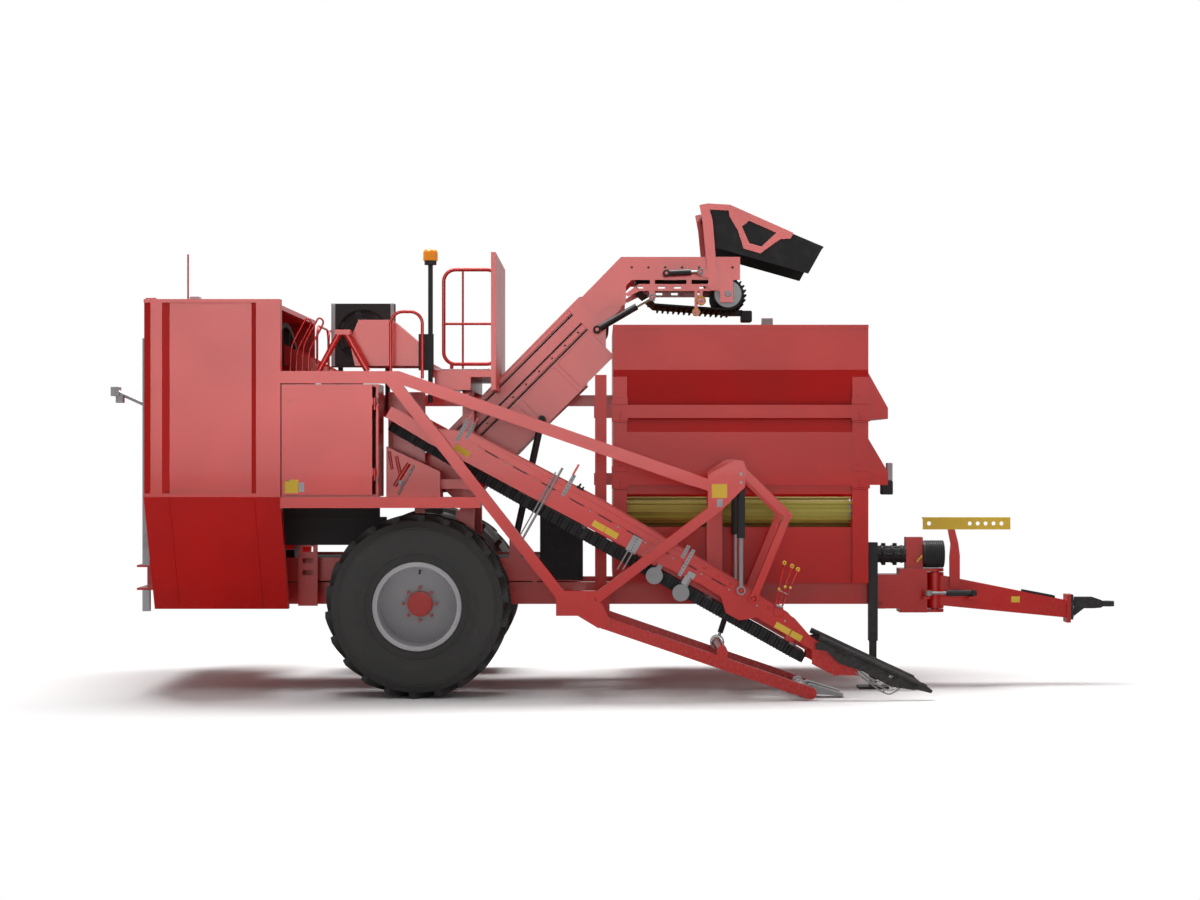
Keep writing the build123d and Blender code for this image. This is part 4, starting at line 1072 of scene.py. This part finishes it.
    def lever_bank(self) -> None:
        """Adds three long setting levers with round grips, held by two cross straps."""
        y = self.near - self.lever_out
        shafts, grips = [], []
        for index, (x0, z0, x1, z1) in enumerate(self.levers):
            shafts.append(rod((x0, y, z0), (x1, y, z1), self.lever_radius, 12))
            grips.append(ring((x1, y, z1 + self.ring_lift), (0, 1, 0), *self.ring_size, 20, 8))
            grips.append(rod((x1, y, z1 + self.collar_run[0]), (x1, y, z1 + self.collar_run[1]),
                             self.collar_radius, 12))
            share = self.stop_share + index * self.stop_step
            grips.append(pin(x0 + (x1 - x0) * share, z0 + (z1 - z0) * share,
                             (y + self.stop_half, y - self.stop_half), self.stop_radius, 12,
                             0.002))
        self.fit("lever_shafts", shafts, Finish.RED)
        self.fit("lever_grips", grips, Finish.OCHRE)
        straps = [rod((x0, y, z0), (x1, y, z1), radius, 10, edge)
                  for x0, z0, x1, z1, radius, edge in self.straps]
        self.fit("lever_straps", straps, Finish.STEEL)
        x0, z0, x1, z1, out = self.lever_foot
        foot = slab((x0, self.near - out, z0), (x1, self.near + 0.001, z1), 0.003)
        self.fit("lever_foot", [foot], Finish.RED)

    def belt_cleats(self) -> None:
        """Adds moulded cleats down the near edge of the near belt's lower run."""
        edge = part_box("lifter_belts")[0][1]
        (near, far), (low, high) = self.cleat_across, self.cleat_square
        cleat = slab((-self.cleat_half, edge + near, low), (self.cleat_half, edge + far, high),
                     0.002, 1)
        places = [self.place @ shift(u, 0, 0) for u in spaced(*self.cleat_run, self.cleat_count)]
        self.fit("belt_cleats", repeat(cleat, places), Finish.BLACK)

    def nose_wires(self) -> None:
        """Adds a pair of bent guard wires under each divider's nose."""
        low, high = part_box("crop_dividers")
        tip_x, tip_z = self.wire_tip
        strut_x, strut_low, strut_high = self.wire_strut
        wires = []
        for y in (low[1] + self.wire_inset, high[1] - self.wire_inset):
            for lift in (0.0, self.wire_gap):
                bends = [(x, y, z + lift) for x, z in self.wire_bends]
                wires.append(wire([*bends, (tip_x, y, tip_z + lift * 0.3)], self.wire_radius))
            wires.append(rod((strut_x, y, strut_low), (strut_x, y, strut_high),
                             self.wire_radius))
        self.fit("nose_wires", wires, Finish.STEEL)


@dataclass
class Elevator(Dress):
    """Rails, dark joints, covers and bolts on the near side of the main elevator."""

    foot: Pair = (-1.427, 2.253)
    angle: float = -45.0
    start: float = 0.03
    length: float = 1.46
    face_gap: float = 0.008
    rail_out: float = 0.014
    # place square to the run, and width, of each rail
    rails: Table = ((-0.040, 0.034), (-0.225, 0.050))
    joints: Row = (-0.062, -0.172, -0.246)
    joint_width: float = 0.014
    bolt: Pair = (0.012, 0.006)
    bolt_line: float = -0.200
    bolt_margins: Pair = (0.10, -0.08)
    # place along the run, and drop, of each cover
    covers: Table = ((0.16, 0.34), (0.62, 0.35), (1.06, 0.34))
    cover_length: float = 0.40
    cover_low: float = -0.230
    cover_top: float = -0.262
    sheet: float = 0.006

    def build(self) -> None:
        """Dresses the side of the trough."""
        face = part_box("elevator_web")[0][1] - self.face_gap
        place = slope(self.foot, self.angle)
        back = face + 0.001
        rails = [tilt(slab((self.start, face - self.rail_out, v),
                           (self.length, back, v + width), 0.003), place)
                 for v, width in self.rails]
        self.fit("elevator_rails", rails, Finish.RED)
        joints = [tilt(slab((self.start, face - self.sheet, v),
                            (self.length, back, v + self.joint_width), 0.001), place)
                  for v in self.joints]
        self.fit("elevator_joints", joints, Finish.RUBBER)
        bolts = [place @ shift(u, face - self.rail_out, self.bolt_line)
                 for u in spaced(self.bolt_margins[0], self.length + self.bolt_margins[1], 9)]
        self.fit("elevator_bolts", repeat(hex_bolt(*self.bolt), bolts), Finish.BLACK)
        covers = [tilt(slab((u, face - self.sheet, self.cover_low - drop),
                            (u + self.cover_length, back, self.cover_top), 0.002), place)
                  for u, drop in self.covers]
        self.fit("elevator_covers", covers, Finish.RED)


@dataclass
class Boom(Dress):
    """Lugs, end disc, yellow pulleys, drive block and bolts of the hinged boom."""

    body: str = "boom"
    drum: Pair = (1.001, 3.424)
    lug_run: Pair = (0.40, 0.98)
    lug_turn: Pair = (-80, 90)
    lug_inset: float = 0.04
    lug_depth: float = 0.026
    lug_half: float = 0.008
    lug_reach: Pair = (0.139, 0.166)
    run: Pair = (0.360, 1.001)
    run_height: Pair = (3.330, 3.284)
    disc_radius: float = 0.118
    disc_span: Pair = (0.002, -0.008)
    bearing_radius: float = 0.028
    bearing_reach: float = 0.032
    # x, z, radius, thickness and hub radius of each pulley
    pulleys: Table = ((0.765, 3.362, 0.036, 0.006, 0.012), (0.722, 3.262, 0.031, 0.005, 0.010))
    pulley_out: float = 0.050
    hub_span: Pair = (0.004, -0.012)
    bolt: Pair = (0.013, 0.006)
    bolt_run: Pair = (0.16, 1.04)
    bolt_height: float = 3.655
    bolt_out: float = 0.021
    block_run: Pair = (0.016, 0.112)
    block_side: Pair = (0.08, 0.24)
    block_rise: Pair = (3.185, 3.285)
    arm_start: float = 0.960
    arm_lap: float = 0.03
    arm_side: Pair = (0.10, 0.20)
    arm_rise: Pair = (3.240, 3.292)
    low: Vector = field(init=False)
    high: Vector = field(init=False)

    def build(self) -> None:
        """Dresses the boom on its own body."""
        self.low, self.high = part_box("boom_web")
        self.lugs()
        self.pulley_pair()
        self.end_disc()
        face = self.low[1] - self.bolt_out
        bolts = [shift(x, face, self.bolt_height) for x in spaced(*self.bolt_run, 7)]
        self.fit("boom_bolts", repeat(hex_bolt(*self.bolt), bolts), Finish.BLACK)
        self.drive()

    def drive(self) -> None:
        """Adds the drive block below the boom's end and the arm that holds it."""
        y, end = self.low[1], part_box("boom_trough")[1][0]
        block = slab((end + self.block_run[0], y + self.block_side[0], self.block_rise[0]),
                     (end + self.block_run[1], y + self.block_side[1], self.block_rise[1]), 0.012)
        arm = slab((self.arm_start, y + self.arm_side[0], self.arm_rise[0]),
                   (end + self.arm_lap, y + self.arm_side[1], self.arm_rise[1]), 0.008)
        self.fit("boom_drive", (block, arm), Finish.BLACK)

    def lugs(self) -> None:
        """Adds rubber lugs across the lower run and round the end drum."""
        near, far = self.low[1] + self.lug_inset, self.high[1] - self.lug_inset
        half = self.lug_half
        fall = (self.run_height[0] - self.run_height[1]) / (self.run[1] - self.run[0])
        lugs = []
        for x in spaced(*self.lug_run, 13):
            z = self.run_height[0] - (x - self.run[0]) * fall
            lugs.append(slab((x - half, near, z - self.lug_depth), (x + half, far, z + 0.001),
                             0.003, 1))
        for angle in spaced(*self.lug_turn, 12):
            lug = slab((self.lug_reach[0], near, -half), (self.lug_reach[1], far, half), 0.003, 1)
            lugs.append(tilt(lug, slope(self.drum, -angle)))
        self.fit("boom_lugs", lugs, Finish.RUBBER)

    def end_disc(self) -> None:
        """Adds the plain disc and the bearing on the near end of the top drum."""
        face = self.low[1]
        back, front = (face + step for step in self.disc_span)
        disc = pin(*self.drum, (back, front), self.disc_radius, 56, 0.002)
        self.fit("boom_disc", [disc], Finish.GREY)
        bearing = pin(*self.drum, (face, face - self.bearing_reach), self.bearing_radius, 28,
                      0.004)
        self.fit("boom_bearing", [bearing], Finish.RIM)

    def pulley_pair(self) -> None:
        """Adds the two yellow-flanged pulleys on the near side."""
        y = self.low[1] - self.pulley_out
        flanges = [ring((x, y, z), (0, 1, 0), radius, thick)
                   for x, z, radius, thick, _ in self.pulleys]
        self.fit("boom_pulley_rings", flanges, Finish.OCHRE)
        back, front = (y + step for step in self.hub_span)
        hubs = [pin(x, z, (back, front), hub) for x, z, _, _, hub in self.pulleys]
        self.fit("boom_pulley_hubs", hubs, Finish.STEEL)


@dataclass
class Bunker(Dress):
    """Corner clips, bolts and lamps of the bunker."""

    wall: float = -0.600
    bolt: Pair = (0.016, 0.007)
    bolt_columns: Row = (0.058, 2.108)
    bolt_rows: Row = (2.382, 2.52, 1.80, 1.93)
    clip_columns: Row = (0.058, 2.124)
    clip_rows: Row = (2.300, 1.722)
    # half width, stand-out, low, high and edge of each part of a clip
    clip_parts: Table = ((0.062, 0.008, 0.0, 0.016, 0.004), (0.066, 0.006, 0.150, 0.158, 0.002),
                         (0.006, 0.008, 0.010, 0.060, 0.002))
    # x of both sides, y of both faces, and how far above the wall it starts and ends
    far_lamp: Table = ((1.420, 1.530, 1.405, 1.440, 0.105, 0.180),
                       (1.424, 1.526, 1.408, 1.437, 0.012, 0.086))
    far_stem: Pair = (1.475, 1.422)
    far_stem_rise: Pair = (-0.01, 0.120)
    far_stem_radius: float = 0.009
    # how far before the wall it starts and ends, y of both sides, z of both ends, and edge
    front_body: Row = (-0.010, 0.092, -0.20, -0.08, 1.668, 1.792, 0.010)
    front_lens: Row = (0.040, 0.090, -0.19, -0.09, 1.792, 1.948, 0.008)

    def build(self) -> None:
        """Dresses the near and front walls."""
        bolts = [shift(x, self.wall, z) for x in self.bolt_columns for z in self.bolt_rows]
        self.fit("bunker_bolts", repeat(hex_bolt(*self.bolt), bolts), Finish.RED)
        clips = []
        for x in self.clip_columns:
            for z in self.clip_rows:
                clips.extend(self.clip(x, z))
        self.fit("bunker_clips", clips, Finish.RED)
        self.lamps()

    def clip(self, x: float, z: float) -> list[Piece]:
        """The parts of one formed clip that holds a rib to a corner post."""
        return [slab((x - half, self.wall - out, z + low), (x + half, self.wall + 0.004, z + high),
                     edge) for half, out, low, high, edge in self.clip_parts]

    def lamps(self) -> None:
        """Adds a work lamp on the far wall and one at the front."""
        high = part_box("bunker")[1]
        front, top = high[0], high[2]
        far = [slab((x0, y0, top + z0), (x1, y1, top + z1), 0.008)
               for x0, x1, y0, y1, z0, z1 in self.far_lamp]
        self.fit("far_lamp", far, Finish.RIM)
        foot, head = (top + rise for rise in self.far_stem_rise)
        stem = rod((*self.far_stem, foot), (*self.far_stem, head), self.far_stem_radius)
        self.fit("far_lamp_stem", [stem], Finish.BLACK)
        for name, row, kind in (("front_lamp_body", self.front_body, Finish.BLACK),
                                ("front_lamp_lens", self.front_lens, Finish.RIM)):
            x0, x1, y0, y1, z0, z1, edge = row
            self.fit(name, [slab((front + x0, y0, z0), (front + x1, y1, z1), edge)], kind)


@dataclass
class FloorConveyor(Dress):
    """End rings of the ribbed floor roller."""

    reach: float = 0.118
    height: float = 1.539
    margins: Pair = (0.060, 0.120)
    radius: float = 0.098
    thick: float = 0.013

    def build(self) -> None:
        """Dresses the roller that shows through the wall's opening."""
        low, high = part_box("floor_conveyor")
        rings = [ring((x, low[1] + self.reach, self.height), (1, 0, 0), self.radius, self.thick,
                      36, 8)
                 for x in (low[0] + self.margins[0], high[0] - self.margins[1])]
        self.fit("roller_end_rings", rings, Finish.GREY)


@dataclass
class Deck(Dress):
    """Grating and toe board of the platform."""

    pitch: float = 0.034
    top: float = 2.730
    post: float = 0.040
    margin: float = 0.02
    bar_inset: float = 0.03
    tie_inset: float = 0.04
    bar_half: float = 0.0025
    bar_depth: float = 0.014
    tie_half: float = 0.003
    tie_depth: Pair = (0.001, 0.011)
    toe_half: float = 0.004
    toe_rise: Pair = (-0.06, 0.05)

    def build(self) -> None:
        """Dresses the deck between its rails."""
        low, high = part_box("platform_deck")
        back, top, half = high[0] - self.post, self.top, self.bar_half
        front = low[0] + self.margin
        rear = back - self.margin
        bars = []
        for x in spaced(front, rear, int((back - low[0] - 2 * self.margin) / self.pitch)):
            bars.append(slab((x - half, low[1] + self.bar_inset, top),
                             (x + half, high[1] - self.bar_inset, top + self.bar_depth),
                             0.0008, 1))
        for y in spaced(low[1] + self.tie_inset, high[1] - self.tie_inset, 9):
            bars.append(slab((front, y - self.tie_half, top + self.tie_depth[0]),
                             (rear, y + self.tie_half, top + self.tie_depth[1]), 0.0008, 1))
        self.fit("deck_grating", bars, Finish.GREY)
        toe = slab((low[0] - self.toe_half, low[1], top + self.toe_rise[0]),
                   (low[0] + self.toe_half, high[1], top + self.toe_rise[1]), 0.002)
        self.fit("toe_board", [toe], Finish.RED)


@dataclass
class Cooler(Dress):
    """Fan guard, fins and corner straps of the oil cooler."""

    centre: Pair = (-2.172, 3.055)
    guard_radii: Row = (0.06, 0.10, 0.14, 0.18, 0.22)
    guard_reach: Pair = (0.02, 0.235)
    guard_thick: float = 0.003
    guard_depth: float = 0.004
    fin_span: Pair = (2.83, 3.29)
    fin_margin: float = 0.03
    fin_depth: Pair = (-0.002, 0.010)
    fin_height: float = 0.004
    strap_span: Pair = (2.785, 3.325)
    strap_width: float = 0.030
    strap_margin: float = 0.004
    strap_depth: Pair = (-0.004, 0.002)

    def build(self) -> None:
        """Dresses the side that looks out and the back."""
        low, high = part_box("oil_cooler")
        x, z = self.centre
        face, grate = low[1], low[1] + self.guard_depth
        guard = [ring((x, grate, z), (0, 1, 0), radius, self.guard_thick, 48, 6)
                 for radius in self.guard_radii]
        start, end = self.guard_reach
        for angle in range(0, 360, 45):
            across, up = math.cos(math.radians(angle)), math.sin(math.radians(angle))
            guard.append(rod((x + across * start, grate, z + up * start),
                             (x + across * end, grate, z + up * end), self.guard_thick, 8))
        self.fit("fan_guard", guard, Finish.BLACK)
        back = self.face("oil_cooler", x, z, 1)
        inner, outer = (back + depth for depth in self.fin_depth)
        fins = [slab((low[0] + self.fin_margin, inner, height),
                     (high[0] - self.fin_margin, outer, height + self.fin_height), 0.0008, 1)
                for height in spaced(*self.fin_span, 30)]
        self.fit("cooler_fins", fins, Finish.GREY)
        (foot, top), (front, rear) = self.strap_span, self.strap_depth
        straps = [slab((edge, face + front, foot), (edge + self.strap_width, face + rear, top),
                       0.003)
                  for edge in (low[0] + self.strap_margin,
                               high[0] - self.strap_margin - self.strap_width)]
        self.fit("cooler_straps", straps, Finish.GREY)


@dataclass
class Drawbar(Dress):
    """Bare plate, pad and hitch bolts of the drawbar."""

    body: str = "drawbar"
    side: float = -0.065
    plate_half: float = 0.002
    plate_low: Pair = (3.525, 0.712)
    plate_high: Pair = (3.600, 0.765)
    pad_at: Pair = (3.630, 0.803)
    pad_angle: float = 10.7
    pad_length: float = 0.290
    pad_half: float = 0.055
    pad_depth: Pair = (-0.014, 0.022)
    bolt: Pair = (0.024, 0.012)
    bolt_seat: float = 0.0195
    bolt_sides: Row = (-0.055, 0.055)
    bolt_rows: Row = (0.59, 0.67, 0.745)

    def build(self) -> None:
        """Dresses the beam and the towing eye."""
        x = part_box("tow_eye")[0][0] + self.bolt_seat
        turn = Matrix.Rotation(math.radians(90), 4, "Z")
        bolts = [shift(x, y, z) @ turn for y in self.bolt_sides for z in self.bolt_rows]
        self.fit("hitch_bolts", repeat(hex_bolt(*self.bolt), bolts), Finish.STEEL)
        plate = thin((self.plate_low[0], self.side - self.plate_half, self.plate_low[1]),
                     (self.plate_high[0], self.side + self.plate_half, self.plate_high[1]))
        self.fit("bare_plate_drawbar", [plate], Finish.OCHRE)
        pad = slab((0, -self.pad_half, self.pad_depth[0]),
                   (self.pad_length, self.pad_half, self.pad_depth[1]), 0.008)
        self.fit("drawbar_pad", [tilt(pad, slope(self.pad_at, self.pad_angle))], Finish.RUBBER)


@dataclass
class Driveline(Dress):
    """Bellows folds, joint crosses and lock handle of the drive line."""

    height: float = 1.137
    fold_start: float = 2.775
    fold_margin: float = 0.012
    fold_radius: float = 0.117
    fold_thick: float = 0.006
    # x and radius of each disc of the joint
    discs: Table = ((2.345, 0.070), (2.385, 0.082), (2.43, 0.060), (2.475, 0.080),
                    (2.52, 0.066), (2.56, 0.080))
    disc_half: float = 0.012
    crosses: Row = (2.40, 2.50)
    cross_reach: float = 0.098
    cross_radius: float = 0.020
    bolt_circle: float = 0.072
    bolt_run: Pair = (2.35, 2.585)
    bolt_radius: float = 0.011
    handle_at: Point = (2.705, -0.060, 1.100)
    handle_reach: float = 0.045
    handle_radius: float = 0.007
    grip_half: Pair = (0.026, 0.030)
    grip_radius: float = 0.008

    def build(self) -> None:
        """Dresses the guard, the gear head and the joint behind it."""
        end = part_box("pto_line")[1][0]
        folds = [ring((x, 0, self.height), (1, 0, 0), self.fold_radius, self.fold_thick, 48, 8)
                 for x in spaced(self.fold_start, end - self.fold_margin, 9)]
        self.fit("guard_folds", folds, Finish.RUBBER)
        self.joint()
        x, y, z = self.handle_at
        out, (across, up) = y - self.handle_reach, self.grip_half
        handle = (pin(x, z, (y + 0.002, out), self.handle_radius, 14),
                  rod((x - across, out, z - up), (x + across, out, z + up), self.grip_radius, 14,
                      0.003))
        self.fit("lock_handle", handle, Finish.OCHRE)

    def joint(self) -> None:
        """Adds the discs, crosses and bolts of the shaft's joint."""
        height, reach = self.height, self.cross_reach
        joint = [rod((x - self.disc_half, 0, height), (x + self.disc_half, 0, height), radius, 28,
                     0.004) for x, radius in self.discs]
        for x in self.crosses:
            joint.append(pin(x, height, (-reach, reach), self.cross_radius, 18, 0.004))
            joint.append(rod((x, 0, height - reach), (x, 0, height + reach), self.cross_radius,
                             18, 0.004))
        start, end = self.bolt_run
        for angle in range(0, 360, 60):
            y = self.bolt_circle * math.cos(math.radians(angle))
            z = height + self.bolt_circle * math.sin(math.radians(angle))
            joint.append(rod((start, y, z), (end, y, z), self.bolt_radius, 12, 0.003))
        self.fit("shaft_joint", joint, Finish.BLACK)


@dataclass
class Tower(Dress):
    """Rear work lamp's lens, tail lamps and skirt folds of the ring tower."""

    lens_half: float = 0.055
    lens_rise: Pair = (2.552, 2.608)
    lens_thick: float = 0.014
    tail_face: Pair = (-3.900, -3.878)
    tail_rise: Pair = (0.93, 1.03)
    tail_side: float = 0.86
    tail_half: float = 0.11
    folds: Row = (-3.655, -2.955)
    fold_foot: Pair = (-1.0530, 0.740)
    fold_head: Pair = (-1.4924, 1.660)
    fold_radius: float = 0.006

    def build(self) -> None:
        """Dresses the back and the near side."""
        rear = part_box("rear_posts")[0][0]
        lens = slab((rear, -self.lens_half, self.lens_rise[0]),
                    (rear + self.lens_thick, self.lens_half, self.lens_rise[1]), 0.004)
        self.fit("rear_work_lens", [lens], Finish.RIM)
        (back, front), (foot, top) = self.tail_face, self.tail_rise
        tails = [slab((back, side * self.tail_side - self.tail_half, foot),
                      (front, side * self.tail_side + self.tail_half, top), 0.005)
                 for side in (-1, 1)]
        self.fit("tail_lamps", tails, Finish.AMBER)
        folds = [rod((x, *self.fold_foot), (x, *self.fold_head), self.fold_radius, 10)
                 for x in self.folds]
        self.fit("skirt_folds", folds, Finish.RED)


@dataclass
class Bay(Dress):
    """A back sheet on its post, and the rod, links and knobs on the topping unit."""

    depth: float = -1.200
    back: float = -0.596
    top: float = 2.560
    # x of both sides, y of the front, z of the foot, and edge of each sheet
    sheets: Table = ((-1.935, -1.640, -0.604, 1.66, 0.002),
                     (-1.712, -1.620, -0.624, 0.818, 0.003),
                     (-1.940, -1.905, -0.612, 1.66, 0.003))
    # x and z of both ends, how far out, and radius of each bar
    bright: Row = (-1.665, 1.930, -1.800, 1.690, 0.006, 0.008)
    links: Table = ((-1.875, 2.050, -1.850, 1.900, 0.008, 0.012),
                    (-1.815, 2.010, -1.780, 1.850, 0.009, 0.014),
                    (-1.710, 1.950, -1.830, 1.760, 0.012, 0.017))
    # x, z and radius of each knob
    knobs: Table = ((-1.780, 1.790, 0.020), (-1.700, 1.880, 0.014))
    knob_span: Pair = (-0.030, 0.002)

    def build(self) -> None:
        """Fills the bay between the cabinet and the arm."""
        sheets = [slab((x0, y, z), (x1, self.back, self.top), edge)
                  for x0, x1, y, z, edge in self.sheets]
        self.fit("bay_back", sheets, Finish.RED)
        self.fit("bay_rod", [self.bar(*self.bright)], Finish.STEEL)
        self.fit("bay_links", [self.bar(*row) for row in self.links], Finish.RED)
        front, back = (self.depth + step for step in self.knob_span)
        knobs = [pin(x, z, (front, back), radius, 18, 0.004) for x, z, radius in self.knobs]
        self.fit("bay_knobs", knobs, Finish.RIM)

    def bar(self, x0: float, z0: float, x1: float, z1: float, out: float, radius: float) -> Piece:
        """One round bar before the topping unit."""
        return rod((x0, self.depth - out, z0), (x1, self.depth - out, z1), radius)


@dataclass
class Feeder(Dress):
    """Bolts and the second pair of crop hoops over the feeder."""

    foot: Pair = (-2.519, 2.795)
    angle: float = 28.0
    bolt: Pair = (0.022, 0.009)
    bolt_run: Pair = (0.05, 0.95)
    bolt_drop: float = -0.06
    # x and y of each hoop's foot
    hoop_feet: Table = ((-2.720, -1.08), (-2.610, -1.14))
    hoop_radius: float = 0.008
    # reach and height of each bend of a hoop
    hoop_bends: Table = ((0.0, 2.598), (0.0, 2.900), (0.045, 3.000), (0.110, 3.120),
                         (0.140, 3.175), (0.185, 3.140), (0.160, 3.080), (0.095, 2.965),
                         (0.050, 2.870), (0.050, 2.598))

    def build(self) -> None:
        """Dresses the near side of the feeder."""
        place = slope(self.foot, self.angle)
        spots = [place @ Vector((u, 0, self.bolt_drop)) for u in spaced(*self.bolt_run, 5)]
        bolts = [shift(spot.x, self.face("feeder", spot.x, spot.z), spot.z) for spot in spots]
        self.fit("feeder_bolts", repeat(hex_bolt(*self.bolt), bolts), Finish.STEEL)
        hoops = [wire([(x + reach, y, z) for reach, z in self.hoop_bends], self.hoop_radius)
                 for x, y in self.hoop_feet]
        self.fit("crop_hoops", hoops, Finish.RED)


@dataclass
class FrameFittings(Dress):
    """Bare plates, pins and the top chord's joint at the outer frame's apex."""

    skin: float = 0.0004
    plate_out: float = 0.002
    plate_low: Pair = (0.800, 1.668)
    plate_high: Pair = (0.926, 1.782)
    tag_low: Pair = (0.844, 1.594)
    tag_high: Pair = (0.890, 1.660)
    # x, z and radius of each pin
    pins: Table = ((1.041, 1.864, 0.014), (1.041, 1.795, 0.012))
    pin_depth: float = 0.004
    chord_end: Pair = (0.600, 1.8325)
    chord_angle: float = 19.0
    chord_length: float = 0.220
    chord_half: float = 0.049
    chord_depth: float = 0.099

    def build(self) -> None:
        """Dresses the apex of the frame."""
        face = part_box("side_truss")[0][1]
        front = face - self.skin
        for name, low, high, kind in (
            ("bare_plate_apex", self.plate_low, self.plate_high, Finish.OCHRE),
            ("bare_tag_apex", self.tag_low, self.tag_high, Finish.GREY),
        ):
            plate = thin((low[0], front, low[1]), (high[0], face + self.plate_out, high[1]))
            self.fit(name, [plate], kind)
        pins = [pin(x, z, (front, face + self.pin_depth), radius, 20, 0.0002)
                for x, z, radius in self.pins]
        self.fit("apex_pins", pins, Finish.RIM)
        joint = slab((0.0, face + self.skin, -self.chord_half),
                     (self.chord_length, face + self.chord_depth, self.chord_half), 0.003)
        self.fit("chord_joint", [tilt(joint, slope(self.chord_end, self.chord_angle))],
                 Finish.RED)


# ------------------------------------------------------------------------ studio
class Mirror(Enum):
    """The groups of red pieces that each mirror their own long panel."""

    MACHINE = "machine"
    BUNKER = "bunker"


@dataclass(frozen=True)
class Lamp:
    """One rectangular soft lamp, or a panel that only one group of pieces mirrors."""

    name: str
    place: Point
    aim: Point
    size: Pair
    power: float
    mirror: Mirror | None = None

    def hang(self, groups: dict[Mirror, bpy.types.Collection]) -> None:
        """Adds the lamp to the scene.

        Args:
            groups: The pieces of each mirror group.
        """
        light = bpy.data.lights.new(self.name, "AREA")
        light.shape = "RECTANGLE"
        light.size, light.size_y = self.size
        light.energy = self.power
        lamp = bpy.data.objects.new(self.name, light)
        lamp.location = self.place
        way = Vector(self.aim) - Vector(self.place)
        lamp.rotation_euler = way.to_track_quat("-Z", "Y").to_euler()
        if self.mirror:
            lamp.visible_diffuse = False
            lamp.light_linking.receiver_collection = groups[self.mirror]
        bpy.context.collection.objects.link(lamp)


@dataclass
class Studio:
    """Pale floor, soft lamps, mirrored panels and the camera to the machine's right."""

    floor_size: float = 120.0
    floor_pale: Colour = (0.86, 0.86, 0.86)
    floor_shade: Colour = (0.84, 0.84, 0.84)
    floor_mirrored: Colour = (0.22, 0.20, 0.20)
    oval: Point = (0.045, 0.1, 0.1)
    fade: Pair = (0.23, 0.52)
    camera_place: Point = (-0.117, -19.575, 2.061)
    lens: float = 66.09
    soft: float = 0.24
    glossy: float = 0.50
    lamps: tuple[Lamp, ...] = (
        Lamp("key_lamp", (-4.0, -9.0, 14.0), (0, 0, 1.5), (9.0, 9.0), 400.0),
        Lamp("top_lamp", (-1.2, 1.8, 12.5), (0, -0.4, 0), (12.0, 5.0), 2800.0),
        Lamp("fill_lamp", (8.0, -6.0, 9.0), (0, 0, 1.5), (7.0, 7.0), 120.0),
        Lamp("gloss_panel", (-1.5, -24.0, 5.35), (-1.5, 0, 5.35), (18.0, 7.5), 3950.0,
             Mirror.MACHINE),
        Lamp("bunker_panel", (-1.5, -24.1, 5.35), (-1.5, 0, 5.35), (18.0, 7.5), 1500.0,
             Mirror.BUNKER),
    )

    def build(self) -> None:
        """Sets the whole studio."""
        self.floor()
        groups = self.painted()
        for lamp in self.lamps:
            lamp.hang(groups)
        self.world()
        self.camera()
        bpy.context.scene.view_settings.view_transform = "Standard"

    def floor(self) -> None:
        """Lays the floor: pale to the camera, darker in mirrors, and white far out."""
        clear_selection()
        bpy.ops.mesh.primitive_plane_add(size=self.floor_size, location=(0, 0, -0.001))
        ground = bpy.context.object
        ground.name = "floor"
        shader = Shader("studio_floor")
        pale = shader.mix(shader.noise(0.4, 2.0), self.floor_pale, self.floor_shade)
        oval = shader.node("ShaderNodeMapping", Vector=shader.place, Scale=self.oval)
        far = shader.node("ShaderNodeVectorMath", {"operation": "LENGTH"}, "Value", Vector=oval)
        ground.data.materials.append(shader.close(
            white=shader.ramp(far, *self.fade) * shader.ray("Camera"),
            Base_Color=shader.mix(shader.ray("Glossy"), pale, self.floor_mirrored),
            Roughness=0.9,
        ))

    def painted(self) -> dict[Mirror, bpy.types.Collection]:
        """Groups the red pieces, which alone mirror the long panels beside the camera.

        Returns:
            A collection of pieces for each group.
        """
        groups = {mirror: bpy.data.collections.new(mirror.value) for mirror in Mirror}
        paint = RECIPES[Finish.RED].name
        for piece in bpy.context.scene.objects:
            if piece.type == "MESH" and piece.active_material.name == paint:
                is_bunker = piece.name.startswith("bunker")
                groups[Mirror.BUNKER if is_bunker else Mirror.MACHINE].objects.link(piece)
        return groups

    def world(self) -> None:
        """Sets the world's pale light: white to the camera and softer on the machine."""
        world = bpy.data.worlds.new("studio")
        bpy.context.scene.world = world
        world.use_nodes = True
        graph = Graph(world.node_tree)
        strength = (graph.ray("Camera") * (1.0 - self.soft)
                    + graph.ray("Glossy") * (self.glossy - self.soft) + self.soft)
        glow = graph.node("ShaderNodeBackground", Color=(1.0, 1.0, 1.0), Strength=strength)
        graph.node("ShaderNodeOutputWorld", Surface=glow)

    def camera(self) -> None:
        """Sets the camera level, looking across the machine."""
        data = bpy.data.cameras.new("camera")
        data.lens = self.lens
        data.sensor_width = 36.0
        data.clip_end = 300.0
        camera = bpy.data.objects.new("camera", data)
        camera.location = self.camera_place
        camera.rotation_euler = (math.radians(90), 0, 0)
        bpy.context.collection.objects.link(camera)
        bpy.context.scene.camera = camera


def main() -> None:
    """Builds the dressed machine and its studio, and logs how many pieces were fitted."""
    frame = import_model()
    shop = Workshop(frame)
    shop.paint_nodes()
    for dress in (Wheels, Cabinet, LiftingArm, Elevator, Boom, Bunker, FloorConveyor, Deck,
                  Cooler, Drawbar, Driveline, Tower, Bay, Feeder, FrameFittings):
        dress(shop).build()
    Studio().build()
    LOG.info("%d pieces fitted", shop.count)


if __name__ == "__main__":
    logging.basicConfig(level=logging.INFO)
    main()
